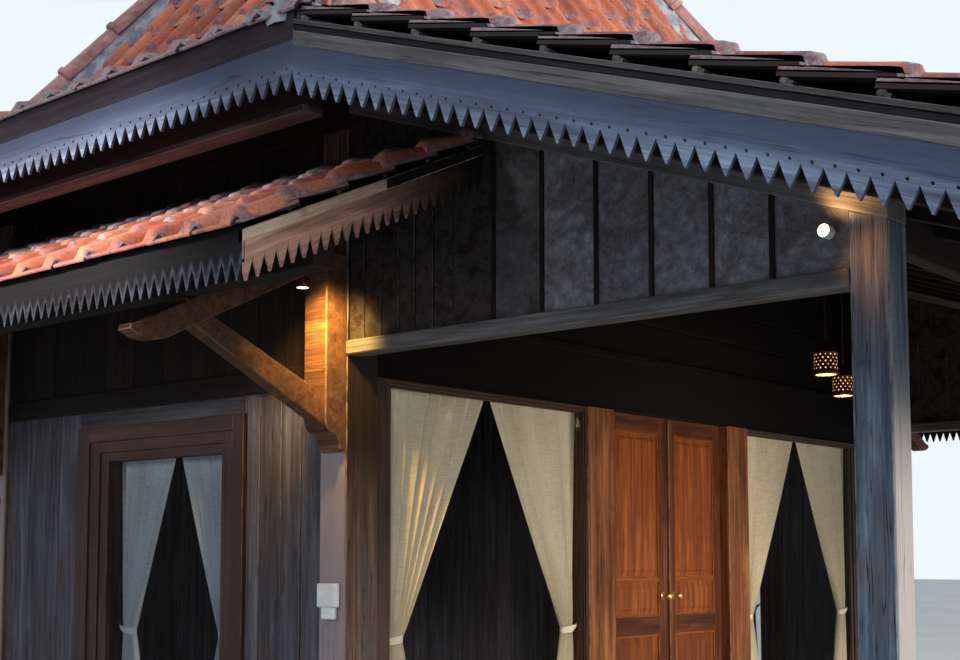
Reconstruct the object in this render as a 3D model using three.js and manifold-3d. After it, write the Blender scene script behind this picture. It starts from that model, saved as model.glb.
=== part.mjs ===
import * as THREE from 'three';
import { mergeVertices } from 'three/addons/utils/BufferGeometryUtils.js';
import Module from 'manifold-3d';

const wasm = await Module();
wasm.setup();

// A Javanese timber house with a clay tile roof, a front porch and side awnings.
// Sizes are millimetres. In the house's own frame the front left corner of the body is at
// x 0 and y 0, x runs to the right along the front wall, y runs back, z is above the floor.
const SEAT = 0.3;
const BODY_WIDTH = 5630;
const BODY_DEPTH = 3100;
const FLOOR_HEIGHT = 300;
const PLINTH_MARGIN = 60;

// Posts
const CORNER_POST_WIDTH = 216;
const CORNER_POST_DEPTH = 177;
const DOOR_POST_WIDTH = 260;
const PORCH_POST = 148;
const PORCH_DEPTH = 2656;
const PORCH_POST_FRONT = -PORCH_DEPTH;
const PORCH_POST_BACK = -PORCH_DEPTH + PORCH_POST;

// Front wall
const DOOR_OPENING_HALF = 645;
const HEAD_HEIGHT = 2090;
const HEAD_BEAM_TOP = 2450;
const FRAME_FRONT = 30;
const FRAME_BACK = 147;
const UPPER_WALL_FRONT = 50;
const UPPER_WALL_BACK = 110;
const WINDOW_SILL = 350;
const FRONT_WINDOW_TOP = 2050;
const WINDOW_FRAME_FRONT = 10;
const WINDOW_FRAME_BACK = 60;
const CORNER_JAMB = 120;
const DOOR_JAMB = 30;
const GLASS_THICKNESS = 6;

// Side and back walls
const WALL_OUTER = 20;
const WALL_INNER = 80;
const SIDE_FRAME_OUTER = 0;
const SIDE_FRAME_INNER = 110;
const SIDE_FRAME_NEAR = 734;
const SIDE_FRAME_FAR = 2177;
const SIDE_GLASS_NEAR = 930;
const SIDE_GLASS_FAR = 1910;
const SIDE_FRAME_BOTTOM = 270;
const SIDE_FRAME_TOP = 1950;
const SIDE_GLASS_TOP = 1760;

// Wall plate under the roof
const PLATE_WIDTH = 150;
const PLATE_BOTTOM = 3250;
const PLATE_TOP = 3412;

// Lower roof: its board line is the underside of the roof boarding. On every roof the tiles lie
// over the boarding as one plain layer, as thick as the middle of the tiles' waves
const EAVE = 1300;
const HIP_RUN = 1087;
const EAVE_LINE = 3030;
const FRONT_EAVE = 3750;
const ROOF_BOARDING = 60;
const TILE_LAYER = 80;
const FRONT_SLOPE = (PLATE_TOP - EAVE_LINE) / HIP_RUN;
const SIDE_SLOPE = (PLATE_TOP - EAVE_LINE) / EAVE;
const BACK_EAVE = BODY_DEPTH + HIP_RUN;
const EAVE_PURLIN = { from: 850, to: 950, bottom: 3000 };

// Upper roof: the planes that it was measured by, and how far its boarding lies under them
const STEEP_BASE_OUT = 150;
const STEEP_BASE_HEIGHT = 3500;
const STEEP_FRONT_SLOPE = 1.66;
const STEEP_END_SLOPE = 1.38;
const STEEP_BOARDING_BELOW = 70;
const STEEP_BOARDING = 60;
const STEEP_TILES_BELOW = STEEP_BOARDING_BELOW - TILE_LAYER;
const CAP_RADIUS = 120;
const LOWER_CAP_RADIUS = 100;

// Fascia boards, measured up and down from the board line
const FASCIA_THICKNESS = 25;
const FASCIA_ABOVE = 50;
const FASCIA_BELOW = 175;
const FRONT_FASCIA_BELOW = 195;

// Side awnings
const AWNING_EAVE_LINE = 2370;
const AWNING_SLOPE = 0.465;
const AWNING_BOARDING = 35;
const AWNING_FRONT = -810;
const AWNING_BACK = BODY_DEPTH - AWNING_FRONT;
const AWNING_ABOVE = 45;
const AWNING_BELOW = 160;
const AWNING_PURLIN = { from: 850, to: 950 };

// Brackets that carry the awnings
const LEG_OUT = 130;
const LEG_WIDTH = 150;
const LEG_TOP = 2640;
const LEG_BOTTOM = 1720;
const ARM_WIDTH = 90;
const ARM_SLOPE = 0.5;
const ARM_UNDERSIDE_AT_POST = 2630;
const ARM_DEPTH = 120;
const ARM_TAIL = 1180;

// Porch side panels
const PANEL_OUTER = 10;
const PANEL_INNER = 50;
const RAIL_BOTTOM = 2170;
const RAIL_TOP = 2236;
const RAIL_OUTER = -10;
const RAIL_INNER = 100;
const RAKE_BEAM_DEPTH = 85;
const PORCH_BEAM_THICKNESS = 68;
const PORCH_BEAM_HEIGHT = 160;
const MIDDLE_PORCH_POST_CENTRES = [2040, BODY_WIDTH - 2040];

// Double door, hung on pins in the head beam and the threshold
const LEAF_THICKNESS = 38;
const LEAF_CENTRE_Y = 79;
const LEAF_CLEARANCE = 5;
const THRESHOLD_TOP = 40;
const LEAF_BOTTOM = THRESHOLD_TOP + LEAF_CLEARANCE;
const LEAF_TOP = HEAD_HEIGHT - LEAF_CLEARANCE;
const PIN_RADIUS = 10;
const PIN_LENGTH = 20;
const KNOB_HEIGHT = 995;
const KNOB_FROM_MEETING = 60;
const KNOB_RADIUS = 20;

// Curtains
const CURTAIN_THICKNESS = 30;
const CURTAIN_TIE_HEIGHT = 830;
const CURTAIN_BOTTOM = 60;
const CURTAIN_CLEARANCE = 8;
const TRACK_DEPTH = 46;
const TRACK_HEIGHT = 30;

const ROUND_SIDES = 24;
const FAR = 12000;
const centreX = BODY_WIDTH / 2;

const woodGrey = { color: 0x6f6a6a, roughness: 0.85 };
const woodBrown = { color: 0x5a4234, roughness: 0.75 };
const woodRed = { color: 0x6b3a22, roughness: 0.5 };
const woodDark = { color: 0x2f211b, roughness: 0.8 };
const clay = { color: 0xb9714f, roughness: 0.8 };
const stone = { color: 0x8d8983, roughness: 0.9 };
const glass = { color: 0xcfdcdc, roughness: 0.05 };
const linen = { color: 0xd8d2c2, roughness: 0.95 };
const brass = { color: 0xb08d4a, roughness: 0.3, metalness: 1 };
const whitePlastic = { color: 0xe6e6e2, roughness: 0.4 };
const bronze = { color: 0x3c2c22, roughness: 0.45, metalness: 0.8 };
const lampWhite = { color: 0xfff1d0, roughness: 0.4 };

const house = new THREE.Group();
house.position.set(-centreX, -(BACK_EAVE - FRONT_EAVE) / 2, FLOOR_HEIGHT);

function toSolid(geometry) {
  const bare = geometry.clone();
  bare.deleteAttribute('normal');
  bare.deleteAttribute('uv');
  const merged = mergeVertices(bare, 1e-4);
  const corners = merged.index.array;
  const kept = [];
  for (let i = 0; i < corners.length; i += 3) {
    const [a, b, c] = [corners[i], corners[i + 1], corners[i + 2]];
    if (a !== b && b !== c && c !== a) {
      kept.push(a, b, c);
    }
  }
  return new wasm.Manifold(new wasm.Mesh({
    numProp: 3,
    vertProperties: new Float32Array(merged.attributes.position.array),
    triVerts: new Uint32Array(kept),
  }));
}

function toGeometry(solid) {
  const mesh = solid.getMesh();
  const geometry = new THREE.BufferGeometry();
  geometry.setAttribute('position', new THREE.BufferAttribute(mesh.vertProperties, 3));
  geometry.setIndex(new THREE.BufferAttribute(mesh.triVerts, 1));
  geometry.computeVertexNormals();
  return geometry;
}

function addMesh(name, geometry, finish) {
  const mesh = new THREE.Mesh(geometry, new THREE.MeshStandardMaterial(finish));
  mesh.name = name;
  house.add(mesh);
  return mesh;
}

function addSolid(name, solid, finish) {
  return addMesh(name, toGeometry(solid), finish);
}

// A box between two corners, set back by half a seat on every face
function addBlock(name, low, high, finish) {
  const size = high.map((value, i) => value - low[i] - SEAT);
  const mesh = addMesh(name, new THREE.BoxGeometry(...size), finish);
  mesh.position.set(...high.map((value, i) => (value + low[i]) / 2));
  return mesh;
}

function block(low, high, setback = SEAT / 2) {
  const size = high.map((value, i) => value - low[i] - 2 * setback);
  const geometry = new THREE.BoxGeometry(...size);
  geometry.translate(...high.map((value, i) => (value + low[i]) / 2));
  return toSolid(geometry);
}

function outline(points) {
  return new THREE.Shape(points.map(([u, v]) => new THREE.Vector2(u, v)));
}

// An outline in y and z, carried along x
function alongX(shape, from, to) {
  const geometry = new THREE.ExtrudeGeometry(shape, { depth: to - from - SEAT, bevelEnabled: false });
  const turn = new THREE.Matrix4().makeBasis(
    new THREE.Vector3(0, 1, 0), new THREE.Vector3(0, 0, 1), new THREE.Vector3(1, 0, 0));
  geometry.applyMatrix4(turn);
  geometry.translate(from + SEAT / 2, 0, 0);
  return toSolid(geometry);
}

// An outline in x and z, carried along y
function alongY(shape, from, to) {
  const geometry = new THREE.ExtrudeGeometry(shape, { depth: to - from - SEAT, bevelEnabled: false });
  const turn = new THREE.Matrix4().makeBasis(
    new THREE.Vector3(1, 0, 0), new THREE.Vector3(0, 0, 1), new THREE.Vector3(0, -1, 0));
  geometry.applyMatrix4(turn);
  geometry.translate(0, to - SEAT / 2, 0);
  return toSolid(geometry);
}

function upright(x, y, from, to, radius) {
  const geometry = new THREE.CylinderGeometry(radius, radius, to - from, ROUND_SIDES);
  geometry.rotateX(Math.PI / 2);
  geometry.translate(x, y, (from + to) / 2);
  return toSolid(geometry);
}

function mirrored(solid) {
  return solid.mirror([1, 0, 0]).translate([BODY_WIDTH, 0, 0]);
}

function turnedAround(solid) {
  return solid.mirror([0, 1, 0]).translate([0, BODY_DEPTH, 0]);
}

// Half spaces: everything on the side that the normal points away from, as far as the point
function halfSpace(normal, point) {
  const unit = new THREE.Vector3(...normal).normalize();
  return { unit, reach: unit.dot(new THREE.Vector3(...point)) };
}

function moved(space, distance) {
  return { unit: space.unit, reach: space.reach + distance };
}

function flipped(space) {
  return { unit: space.unit.clone().negate(), reach: -space.reach };
}

function trimmed(solid, spaces, setback = SEAT / 2) {
  let result = solid;
  for (const { unit, reach } of spaces) {
    result = result.trimByPlane([-unit.x, -unit.y, -unit.z], setback - reach);
  }
  return result;
}

function between(spaces, setback = SEAT / 2) {
  return trimmed(block([-FAR, -FAR, -FAR], [FAR, FAR, FAR]), spaces, setback);
}

// Plinth with the floor on top, under the body and the porch
function addPlinth() {
  addBlock(
    'plinth_floor',
    [-PLINTH_MARGIN, PORCH_POST_FRONT - PLINTH_MARGIN, -FLOOR_HEIGHT],
    [BODY_WIDTH + PLINTH_MARGIN, BODY_DEPTH + PLINTH_MARGIN, 0],
    stone,
  ).position.z -= SEAT / 2;
}

// Bracket on the outer face of a corner post: leg, sloping arm with a carved tail, and strut
function bracket() {
  const leg = new THREE.Shape();
  leg.moveTo(0, LEG_TOP);
  leg.lineTo(-LEG_OUT, LEG_TOP);
  leg.lineTo(-LEG_OUT, LEG_BOTTOM + 150);
  leg.quadraticCurveTo(-LEG_OUT, LEG_BOTTOM + 90, -LEG_OUT * 0.62, LEG_BOTTOM + 80);
  leg.quadraticCurveTo(-LEG_OUT * 0.28, LEG_BOTTOM + 70, -LEG_OUT * 0.25, LEG_BOTTOM);
  leg.lineTo(0, LEG_BOTTOM);

  const armUnderside = (x) => ARM_UNDERSIDE_AT_POST + ARM_SLOPE * x;
  const armTop = (x) => armUnderside(x) + ARM_DEPTH;
  const tailStart = -ARM_TAIL + 210;
  const tailTop = -ARM_TAIL + 150;
  const arm = new THREE.Shape();
  arm.moveTo(0, armUnderside(0));
  arm.lineTo(0, armTop(0));
  arm.lineTo(tailTop, armTop(tailTop));
  arm.quadraticCurveTo(-ARM_TAIL + 90, armTop(tailTop) - 50, -ARM_TAIL + 10, armTop(tailTop) - 62);
  arm.lineTo(-ARM_TAIL, armTop(tailTop) - 85);
  arm.quadraticCurveTo(-ARM_TAIL + 110, armUnderside(tailStart) - 55, tailStart, armUnderside(tailStart));

  const strut = outline([[-60, 1815], [-820, 2190], [-820, 2330], [-60, 1955]]);
  const middle = LEG_WIDTH / 2;
  return [
    alongY(arm, middle - ARM_WIDTH / 2, middle + ARM_WIDTH / 2),
    alongY(strut, middle - ARM_WIDTH / 2, middle + ARM_WIDTH / 2),
  ].reduce((whole, piece) => whole.add(piece), alongY(leg, 0, LEG_WIDTH));
}

// Corner posts, each in one piece with its awning bracket
function addCornerPosts() {
  const postBody = block([0, 0, 0], [CORNER_POST_WIDTH, CORNER_POST_DEPTH, PLATE_BOTTOM]);
  const post = postBody.add(bracket().translate([SEAT, 0, 0]));
  addSolid('corner_post_front_left', post, woodBrown);
  addSolid('corner_post_front_right', mirrored(post), woodBrown);
  addSolid('corner_post_back_left', turnedAround(post), woodBrown);
  addSolid('corner_post_back_right', mirrored(turnedAround(post)), woodBrown);
}

function addDoorPosts() {
  const inner = centreX - DOOR_OPENING_HALF;
  const outer = inner - DOOR_POST_WIDTH;
  addBlock('door_post_left', [outer, 0, 0], [inner, CORNER_POST_DEPTH, HEAD_HEIGHT], woodBrown);
  addBlock(
    'door_post_right',
    [BODY_WIDTH - inner, 0, 0], [BODY_WIDTH - outer, CORNER_POST_DEPTH, HEAD_HEIGHT], woodBrown);
}

function pivotX(side) {
  return centreX + side * (DOOR_OPENING_HALF - LEAF_CLEARANCE - LEAF_THICKNESS / 2);
}

// The beam over door and windows with the boarded wall above it
function addFrontWallHead() {
  const left = CORNER_POST_WIDTH;
  const right = BODY_WIDTH - CORNER_POST_WIDTH;
  const beam = block([left, FRAME_FRONT, HEAD_HEIGHT], [right, FRAME_BACK, HEAD_BEAM_TOP]);
  const boards = block([left, UPPER_WALL_FRONT, HEAD_BEAM_TOP - 50], [right, UPPER_WALL_BACK, PLATE_BOTTOM]);
  let head = beam.add(boards);
  for (const side of [-1, 1]) {
    const socketTop = HEAD_HEIGHT + PIN_LENGTH;
    head = head.subtract(
      upright(pivotX(side), LEAF_CENTRE_Y, HEAD_HEIGHT - 50, socketTop, PIN_RADIUS + SEAT));
  }
  addSolid('front_wall_head', head, woodDark);
}

function addThreshold() {
  const low = [centreX - DOOR_OPENING_HALF, FRAME_FRONT, 0];
  const high = [centreX + DOOR_OPENING_HALF, FRAME_BACK, THRESHOLD_TOP];
  let sill = block(low, high);
  for (const side of [-1, 1]) {
    sill = sill.subtract(
      upright(
        pivotX(side), LEAF_CENTRE_Y, THRESHOLD_TOP - PIN_LENGTH, THRESHOLD_TOP + 50, PIN_RADIUS + SEAT));
  }
  addSolid('door_threshold', sill, woodBrown);
}

// One leaf with a rounded heel about its pins
function doorLeaf() {
  const pivot = pivotX(-1);
  const front = LEAF_CENTRE_Y - LEAF_THICKNESS / 2;
  const back = LEAF_CENTRE_Y + LEAF_THICKNESS / 2;
  const meeting = centreX - LEAF_CLEARANCE / 2;
  return block([pivot, front, LEAF_BOTTOM], [meeting, back, LEAF_TOP], 0)
    .add(upright(pivot, LEAF_CENTRE_Y, LEAF_BOTTOM, LEAF_TOP, LEAF_THICKNESS / 2))
    .add(upright(
      pivot, LEAF_CENTRE_Y, THRESHOLD_TOP - PIN_LENGTH + SEAT, HEAD_HEIGHT + PIN_LENGTH - SEAT, PIN_RADIUS));
}

function doorKnob() {
  const front = LEAF_CENTRE_Y - LEAF_THICKNESS / 2;
  const stemLength = 30;
  const stem = new THREE.CylinderGeometry(8, 12, stemLength, ROUND_SIDES);
  stem.translate(centreX - KNOB_FROM_MEETING, front - SEAT - stemLength / 2, KNOB_HEIGHT);
  const ball = new THREE.SphereGeometry(KNOB_RADIUS, ROUND_SIDES, ROUND_SIDES / 2);
  ball.translate(centreX - KNOB_FROM_MEETING, front - stemLength - 10, KNOB_HEIGHT);
  return toSolid(stem).add(toSolid(ball));
}

function addDoor() {
  addThreshold();
  addSolid('door_leaf_left', doorLeaf(), woodRed);
  addSolid('door_leaf_right', mirrored(doorLeaf()), woodRed);
  addSolid('door_knob_left', doorKnob(), brass);
  addSolid('door_knob_right', mirrored(doorKnob()), brass);
}

function frameWithHole(outer, hole) {
  const frame = outline([
    [outer.left, outer.bottom], [outer.right, outer.bottom],
    [outer.right, outer.top], [outer.left, outer.top],
  ]);
  frame.holes.push(outline([
    [hole.left, hole.bottom], [hole.left, hole.top], [hole.right, hole.top], [hole.right, hole.bottom],
  ]));
  return frame;
}

function setIn(span, distance) {
  return {
    left: span.left + distance,
    right: span.right - distance,
    bottom: span.bottom + distance,
    top: span.top - distance,
  };
}

// The window bay of the front wall: panel below, frame round one big pane
function addFrontWindows() {
  const bay = {
    left: CORNER_POST_WIDTH,
    right: centreX - DOOR_OPENING_HALF - DOOR_POST_WIDTH,
    bottom: 0,
    top: HEAD_HEIGHT,
  };
  const pane = {
    left: bay.left + CORNER_JAMB,
    right: bay.right - DOOR_JAMB,
    bottom: WINDOW_SILL,
    top: FRONT_WINDOW_TOP,
  };
  const frame = alongY(frameWithHole(setIn(bay, SEAT / 2), pane), WINDOW_FRAME_FRONT, WINDOW_FRAME_BACK);
  addSolid('front_window_left', frame, woodRed);
  addSolid('front_window_right', mirrored(frame), woodRed);

  const middle = (WINDOW_FRAME_FRONT + WINDOW_FRAME_BACK) / 2;
  const sheet = block(
    [pane.left, middle - GLASS_THICKNESS / 2, pane.bottom],
    [pane.right, middle + GLASS_THICKNESS / 2, pane.top],
    SEAT);
  addSolid('front_glass_left', sheet, glass);
  addSolid('front_glass_right', mirrored(sheet), glass);
}

function addSideWalls() {
  const wallOutline = {
    left: CORNER_POST_DEPTH, right: BODY_DEPTH - CORNER_POST_DEPTH, bottom: 0, top: PLATE_BOTTOM,
  };
  const frameOutline = {
    left: SIDE_FRAME_NEAR, right: SIDE_FRAME_FAR, bottom: SIDE_FRAME_BOTTOM, top: SIDE_FRAME_TOP,
  };
  const pane = {
    left: SIDE_GLASS_NEAR, right: SIDE_GLASS_FAR, bottom: WINDOW_SILL, top: SIDE_GLASS_TOP,
  };
  const boards = alongX(frameWithHole(setIn(wallOutline, SEAT / 2), frameOutline), WALL_OUTER, WALL_INNER);
  addSolid('side_wall_left', boards, woodGrey);
  addSolid('side_wall_right', mirrored(boards), woodGrey);

  const frame = alongX(frameWithHole(setIn(frameOutline, SEAT), pane), SIDE_FRAME_OUTER, SIDE_FRAME_INNER);
  addSolid('side_window_left', frame, woodRed);
  addSolid('side_window_right', mirrored(frame), woodRed);

  const middle = (SIDE_FRAME_OUTER + SIDE_FRAME_INNER) / 2;
  const sheet = block(
    [middle - GLASS_THICKNESS / 2, pane.left, pane.bottom],
    [middle + GLASS_THICKNESS / 2, pane.right, pane.top],
    SEAT);
  addSolid('side_glass_left', sheet, glass);
  addSolid('side_glass_right', mirrored(sheet), glass);
}

function addBackWall() {
  addBlock(
    'back_wall',
    [CORNER_POST_WIDTH, BODY_DEPTH - WALL_INNER, 0],
    [BODY_WIDTH - CORNER_POST_WIDTH, BODY_DEPTH - WALL_OUTER, PLATE_BOTTOM],
    woodGrey,
  );
}

function addWallPlate() {
  const ring = block([0, 0, PLATE_BOTTOM], [BODY_WIDTH, BODY_DEPTH, PLATE_TOP]);
  const room = block(
    [PLATE_WIDTH, PLATE_WIDTH, PLATE_BOTTOM - 50],
    [BODY_WIDTH - PLATE_WIDTH, BODY_DEPTH - PLATE_WIDTH, PLATE_TOP + 50]);
  addSolid('wall_plate', ring.subtract(room), woodDark);
}

// Planes that bound the roofs
const left = halfSpace([-1, 0, 0], [-EAVE, 0, 0]);
const right = halfSpace([1, 0, 0], [BODY_WIDTH + EAVE, 0, 0]);
const front = halfSpace([0, -1, 0], [0, -FRONT_EAVE, 0]);
const back = halfSpace([0, 1, 0], [0, BACK_EAVE, 0]);
const lowerFront = halfSpace([0, -FRONT_SLOPE, 1], [0, 0, PLATE_TOP]);
const lowerBack = halfSpace([0, FRONT_SLOPE, 1], [0, BODY_DEPTH, PLATE_TOP]);
const lowerLeft = halfSpace([-SIDE_SLOPE, 0, 1], [0, 0, PLATE_TOP]);
const lowerRight = halfSpace([SIDE_SLOPE, 0, 1], [BODY_WIDTH, 0, PLATE_TOP]);
const hipFrontLeft = halfSpace([-HIP_RUN, EAVE, 0], [0, 0, 0]);
const hipFrontRight = halfSpace([HIP_RUN, EAVE, 0], [BODY_WIDTH, 0, 0]);
const hipBackLeft = halfSpace([-HIP_RUN, -EAVE, 0], [0, BODY_DEPTH, 0]);
const hipBackRight = halfSpace([HIP_RUN, -EAVE, 0], [BODY_WIDTH, BODY_DEPTH, 0]);
const steepPlanes = [
  halfSpace([0, -STEEP_FRONT_SLOPE, 1], [0, -STEEP_BASE_OUT, STEEP_BASE_HEIGHT]),
  halfSpace([0, STEEP_FRONT_SLOPE, 1], [0, BODY_DEPTH + STEEP_BASE_OUT, STEEP_BASE_HEIGHT]),
  halfSpace([-STEEP_END_SLOPE, 0, 1], [-STEEP_BASE_OUT, 0, STEEP_BASE_HEIGHT]),
  halfSpace([STEEP_END_SLOPE, 0, 1], [BODY_WIDTH + STEEP_BASE_OUT, 0, STEEP_BASE_HEIGHT]),
];

// How far a vertical shift moves a roof plane along its own normal
function raised(space, height) {
  return moved(space, height * space.unit.z);
}

// The top of the tiles over the boarding with that underside
function tileTop(underside, boarding = ROOF_BOARDING) {
  return raised(underside, boarding + TILE_LAYER);
}

function tiledSlab(underside, edges, boarding = ROOF_BOARDING) {
  return between([tileTop(underside, boarding), flipped(underside), ...edges]);
}

function addLowerRoof() {
  const frontSlab = tiledSlab(lowerFront, [
    left, right, front, hipFrontLeft, hipFrontRight, halfSpace([0, 1, 0], [0, PLATE_WIDTH, 0])]);
  const backSlab = tiledSlab(lowerBack, [
    left, right, back, hipBackLeft, hipBackRight, halfSpace([0, -1, 0], [0, BODY_DEPTH - PLATE_WIDTH, 0])]);
  addSolid('lower_roof_front', frontSlab, woodDark);
  addSolid('lower_roof_back', backSlab, woodDark);

  const sideEdges = [
    left, flipped(hipFrontLeft), flipped(hipBackLeft), halfSpace([1, 0, 0], [PLATE_WIDTH, 0, 0])];
  const purlin = block(
    [-EAVE_PURLIN.to, -HIP_RUN, EAVE_PURLIN.bottom],
    [-EAVE_PURLIN.from, BODY_DEPTH + HIP_RUN, EAVE_LINE + SIDE_SLOPE * (EAVE - EAVE_PURLIN.to) + 20]);
  const sideSlab = tiledSlab(lowerLeft, sideEdges).add(trimmed(purlin, sideEdges));
  addSolid('lower_roof_left', sideSlab, woodDark);
  addSolid('lower_roof_right', mirrored(sideSlab), woodDark);
}

function steepSolid(below, setback) {
  return between(steepPlanes.map((space) => moved(space, -below)), setback);
}

// All that lies under the tiles of the lower roof's four planes
function underLowerRoof(setback) {
  return between([lowerFront, lowerBack, lowerLeft, lowerRight].map((space) => tileTop(space)), setback);
}

// The steep hipped roof: a shell that stands on the lower roof
function addUpperRoof() {
  const shell = steepSolid(STEEP_TILES_BELOW, SEAT / 2)
    .subtract(steepSolid(STEEP_BOARDING_BELOW + STEEP_BOARDING, 0))
    .subtract(underLowerRoof(-SEAT));
  addSolid('upper_roof', shell, woodDark);
}

function round(from, to, radius) {
  const start = new THREE.Vector3(...from);
  const end = new THREE.Vector3(...to);
  const bar = new THREE.CylinderGeometry(radius, radius, start.distanceTo(end), 10);
  const direction = end.clone().sub(start).normalize();
  bar.applyQuaternion(new THREE.Quaternion().setFromUnitVectors(new THREE.Vector3(0, 1, 0), direction));
  bar.translate(...start.clone().add(end).multiplyScalar(0.5).toArray());
  return toSolid(bar);
}

// Half round caps along the ridge, the four steep hips and the four lower hips
function addCaps() {
  const steepHipAt = (height) => {
    const base = (slope) => STEEP_BASE_HEIGHT - STEEP_TILES_BELOW * Math.hypot(1, slope);
    const place = (slope) => (height - base(slope)) / slope - STEEP_BASE_OUT;
    return [place(STEEP_END_SLOPE), place(STEEP_FRONT_SLOPE), height];
  };
  const lowerHipAt = (x) => {
    const rise = SIDE_SLOPE * x;
    return [x, rise / FRONT_SLOPE, PLATE_TOP + ROOF_BOARDING + TILE_LAYER + rise];
  };
  const ridgeRise = STEEP_FRONT_SLOPE * (BODY_DEPTH / 2 + STEEP_BASE_OUT);
  const ridgeHeight = STEEP_BASE_HEIGHT + ridgeRise - STEEP_TILES_BELOW * Math.hypot(1, STEEP_FRONT_SLOPE);
  const ridgeLeft = steepHipAt(ridgeHeight);
  const ridgeRight = [BODY_WIDTH - ridgeLeft[0], ridgeLeft[1], ridgeHeight];
  const foot = steepHipAt(PLATE_TOP);
  const overrun = 100;
  const eaveEnd = lowerHipAt(-EAVE - overrun);
  const wallEnd = lowerHipAt(0);
  const steepHip = round(foot, ridgeLeft, CAP_RADIUS);
  const lowerHip = round(eaveEnd, wallEnd, LOWER_CAP_RADIUS);
  const corner = steepHip.add(lowerHip);
  const leftCorners = corner.add(turnedAround(corner));
  const caps = leftCorners
    .add(mirrored(leftCorners))
    .add(round(ridgeLeft, ridgeRight, CAP_RADIUS))
    .subtract(steepSolid(STEEP_TILES_BELOW, -SEAT))
    .subtract(underLowerRoof(-SEAT));
  addSolid('ridge_and_hip_caps', trimmed(caps, [left, right, back]), clay);
}

// Boards that hang at the eaves and along the porch roof's sloping edges
function addFascias() {
  const frontLine = PLATE_TOP - FRONT_SLOPE * FRONT_EAVE;
  const side = outline([
    [-FRONT_EAVE + SEAT, frontLine - FRONT_FASCIA_BELOW],
    [-HIP_RUN, EAVE_LINE - FRONT_FASCIA_BELOW],
    [-HIP_RUN, EAVE_LINE - FASCIA_BELOW],
    [BACK_EAVE - SEAT, EAVE_LINE - FASCIA_BELOW],
    [BACK_EAVE - SEAT, EAVE_LINE + FASCIA_ABOVE],
    [-HIP_RUN, EAVE_LINE + FASCIA_ABOVE],
    [-FRONT_EAVE + SEAT, frontLine + FASCIA_ABOVE],
  ]);
  const board = alongX(side, -EAVE - FASCIA_THICKNESS, -EAVE);
  addSolid('fascia_left', board, woodGrey);
  addSolid('fascia_right', mirrored(board), woodGrey);

  const end = EAVE + FASCIA_THICKNESS;
  addBlock(
    'fascia_front',
    [-end, -FRONT_EAVE - FASCIA_THICKNESS, frontLine - FRONT_FASCIA_BELOW],
    [BODY_WIDTH + end, -FRONT_EAVE, frontLine + FASCIA_ABOVE], woodGrey);
  addBlock(
    'fascia_back',
    [-end, BACK_EAVE, EAVE_LINE - FASCIA_BELOW],
    [BODY_WIDTH + end, BACK_EAVE + FASCIA_THICKNESS, EAVE_LINE + FASCIA_ABOVE], woodGrey);
}

// Lean-to awnings along both sides, each with the purlin that its brackets carry
function addAwnings() {
  const wallLine = AWNING_EAVE_LINE + AWNING_SLOPE * EAVE;
  const underside = halfSpace([-AWNING_SLOPE, 0, 1], [0, 0, wallLine]);
  const edges = [
    left, halfSpace([1, 0, 0], [0, 0, 0]),
    halfSpace([0, -1, 0], [0, AWNING_FRONT, 0]), halfSpace([0, 1, 0], [0, AWNING_BACK, 0])];
  const armTop = ARM_UNDERSIDE_AT_POST + ARM_DEPTH - ARM_SLOPE * AWNING_PURLIN.from;
  const purlin = block(
    [-AWNING_PURLIN.to, AWNING_FRONT, armTop + SEAT],
    [-AWNING_PURLIN.from, AWNING_BACK, wallLine - AWNING_SLOPE * AWNING_PURLIN.to + 20]);
  const slab = trimmed(tiledSlab(underside, edges, AWNING_BOARDING).add(purlin), [lowerFront, lowerBack]);
  addSolid('awning_roof_left', slab, woodDark);
  addSolid('awning_roof_right', mirrored(slab), woodDark);

  const eaveBoard = block(
    [-EAVE - FASCIA_THICKNESS, AWNING_FRONT - FASCIA_THICKNESS, AWNING_EAVE_LINE - AWNING_BELOW],
    [-EAVE, AWNING_BACK + FASCIA_THICKNESS, AWNING_EAVE_LINE + AWNING_ABOVE]);
  const start = -EAVE - FASCIA_THICKNESS / 2;
  const rake = outline([
    [start, AWNING_EAVE_LINE - AWNING_BELOW],
    [-SEAT, wallLine - AWNING_BELOW],
    [-SEAT, wallLine + AWNING_ABOVE],
    [start, AWNING_EAVE_LINE + AWNING_ABOVE],
  ]);
  const fascia = eaveBoard
    .add(alongY(rake, AWNING_FRONT - FASCIA_THICKNESS, AWNING_FRONT))
    .add(alongY(rake, AWNING_BACK, AWNING_BACK + FASCIA_THICKNESS));
  addSolid('awning_fascia_left', fascia, woodGrey);
  addSolid('awning_fascia_right', mirrored(fascia), woodGrey);
}

function roofLine(y) {
  return PLATE_TOP + FRONT_SLOPE * y;
}

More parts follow.
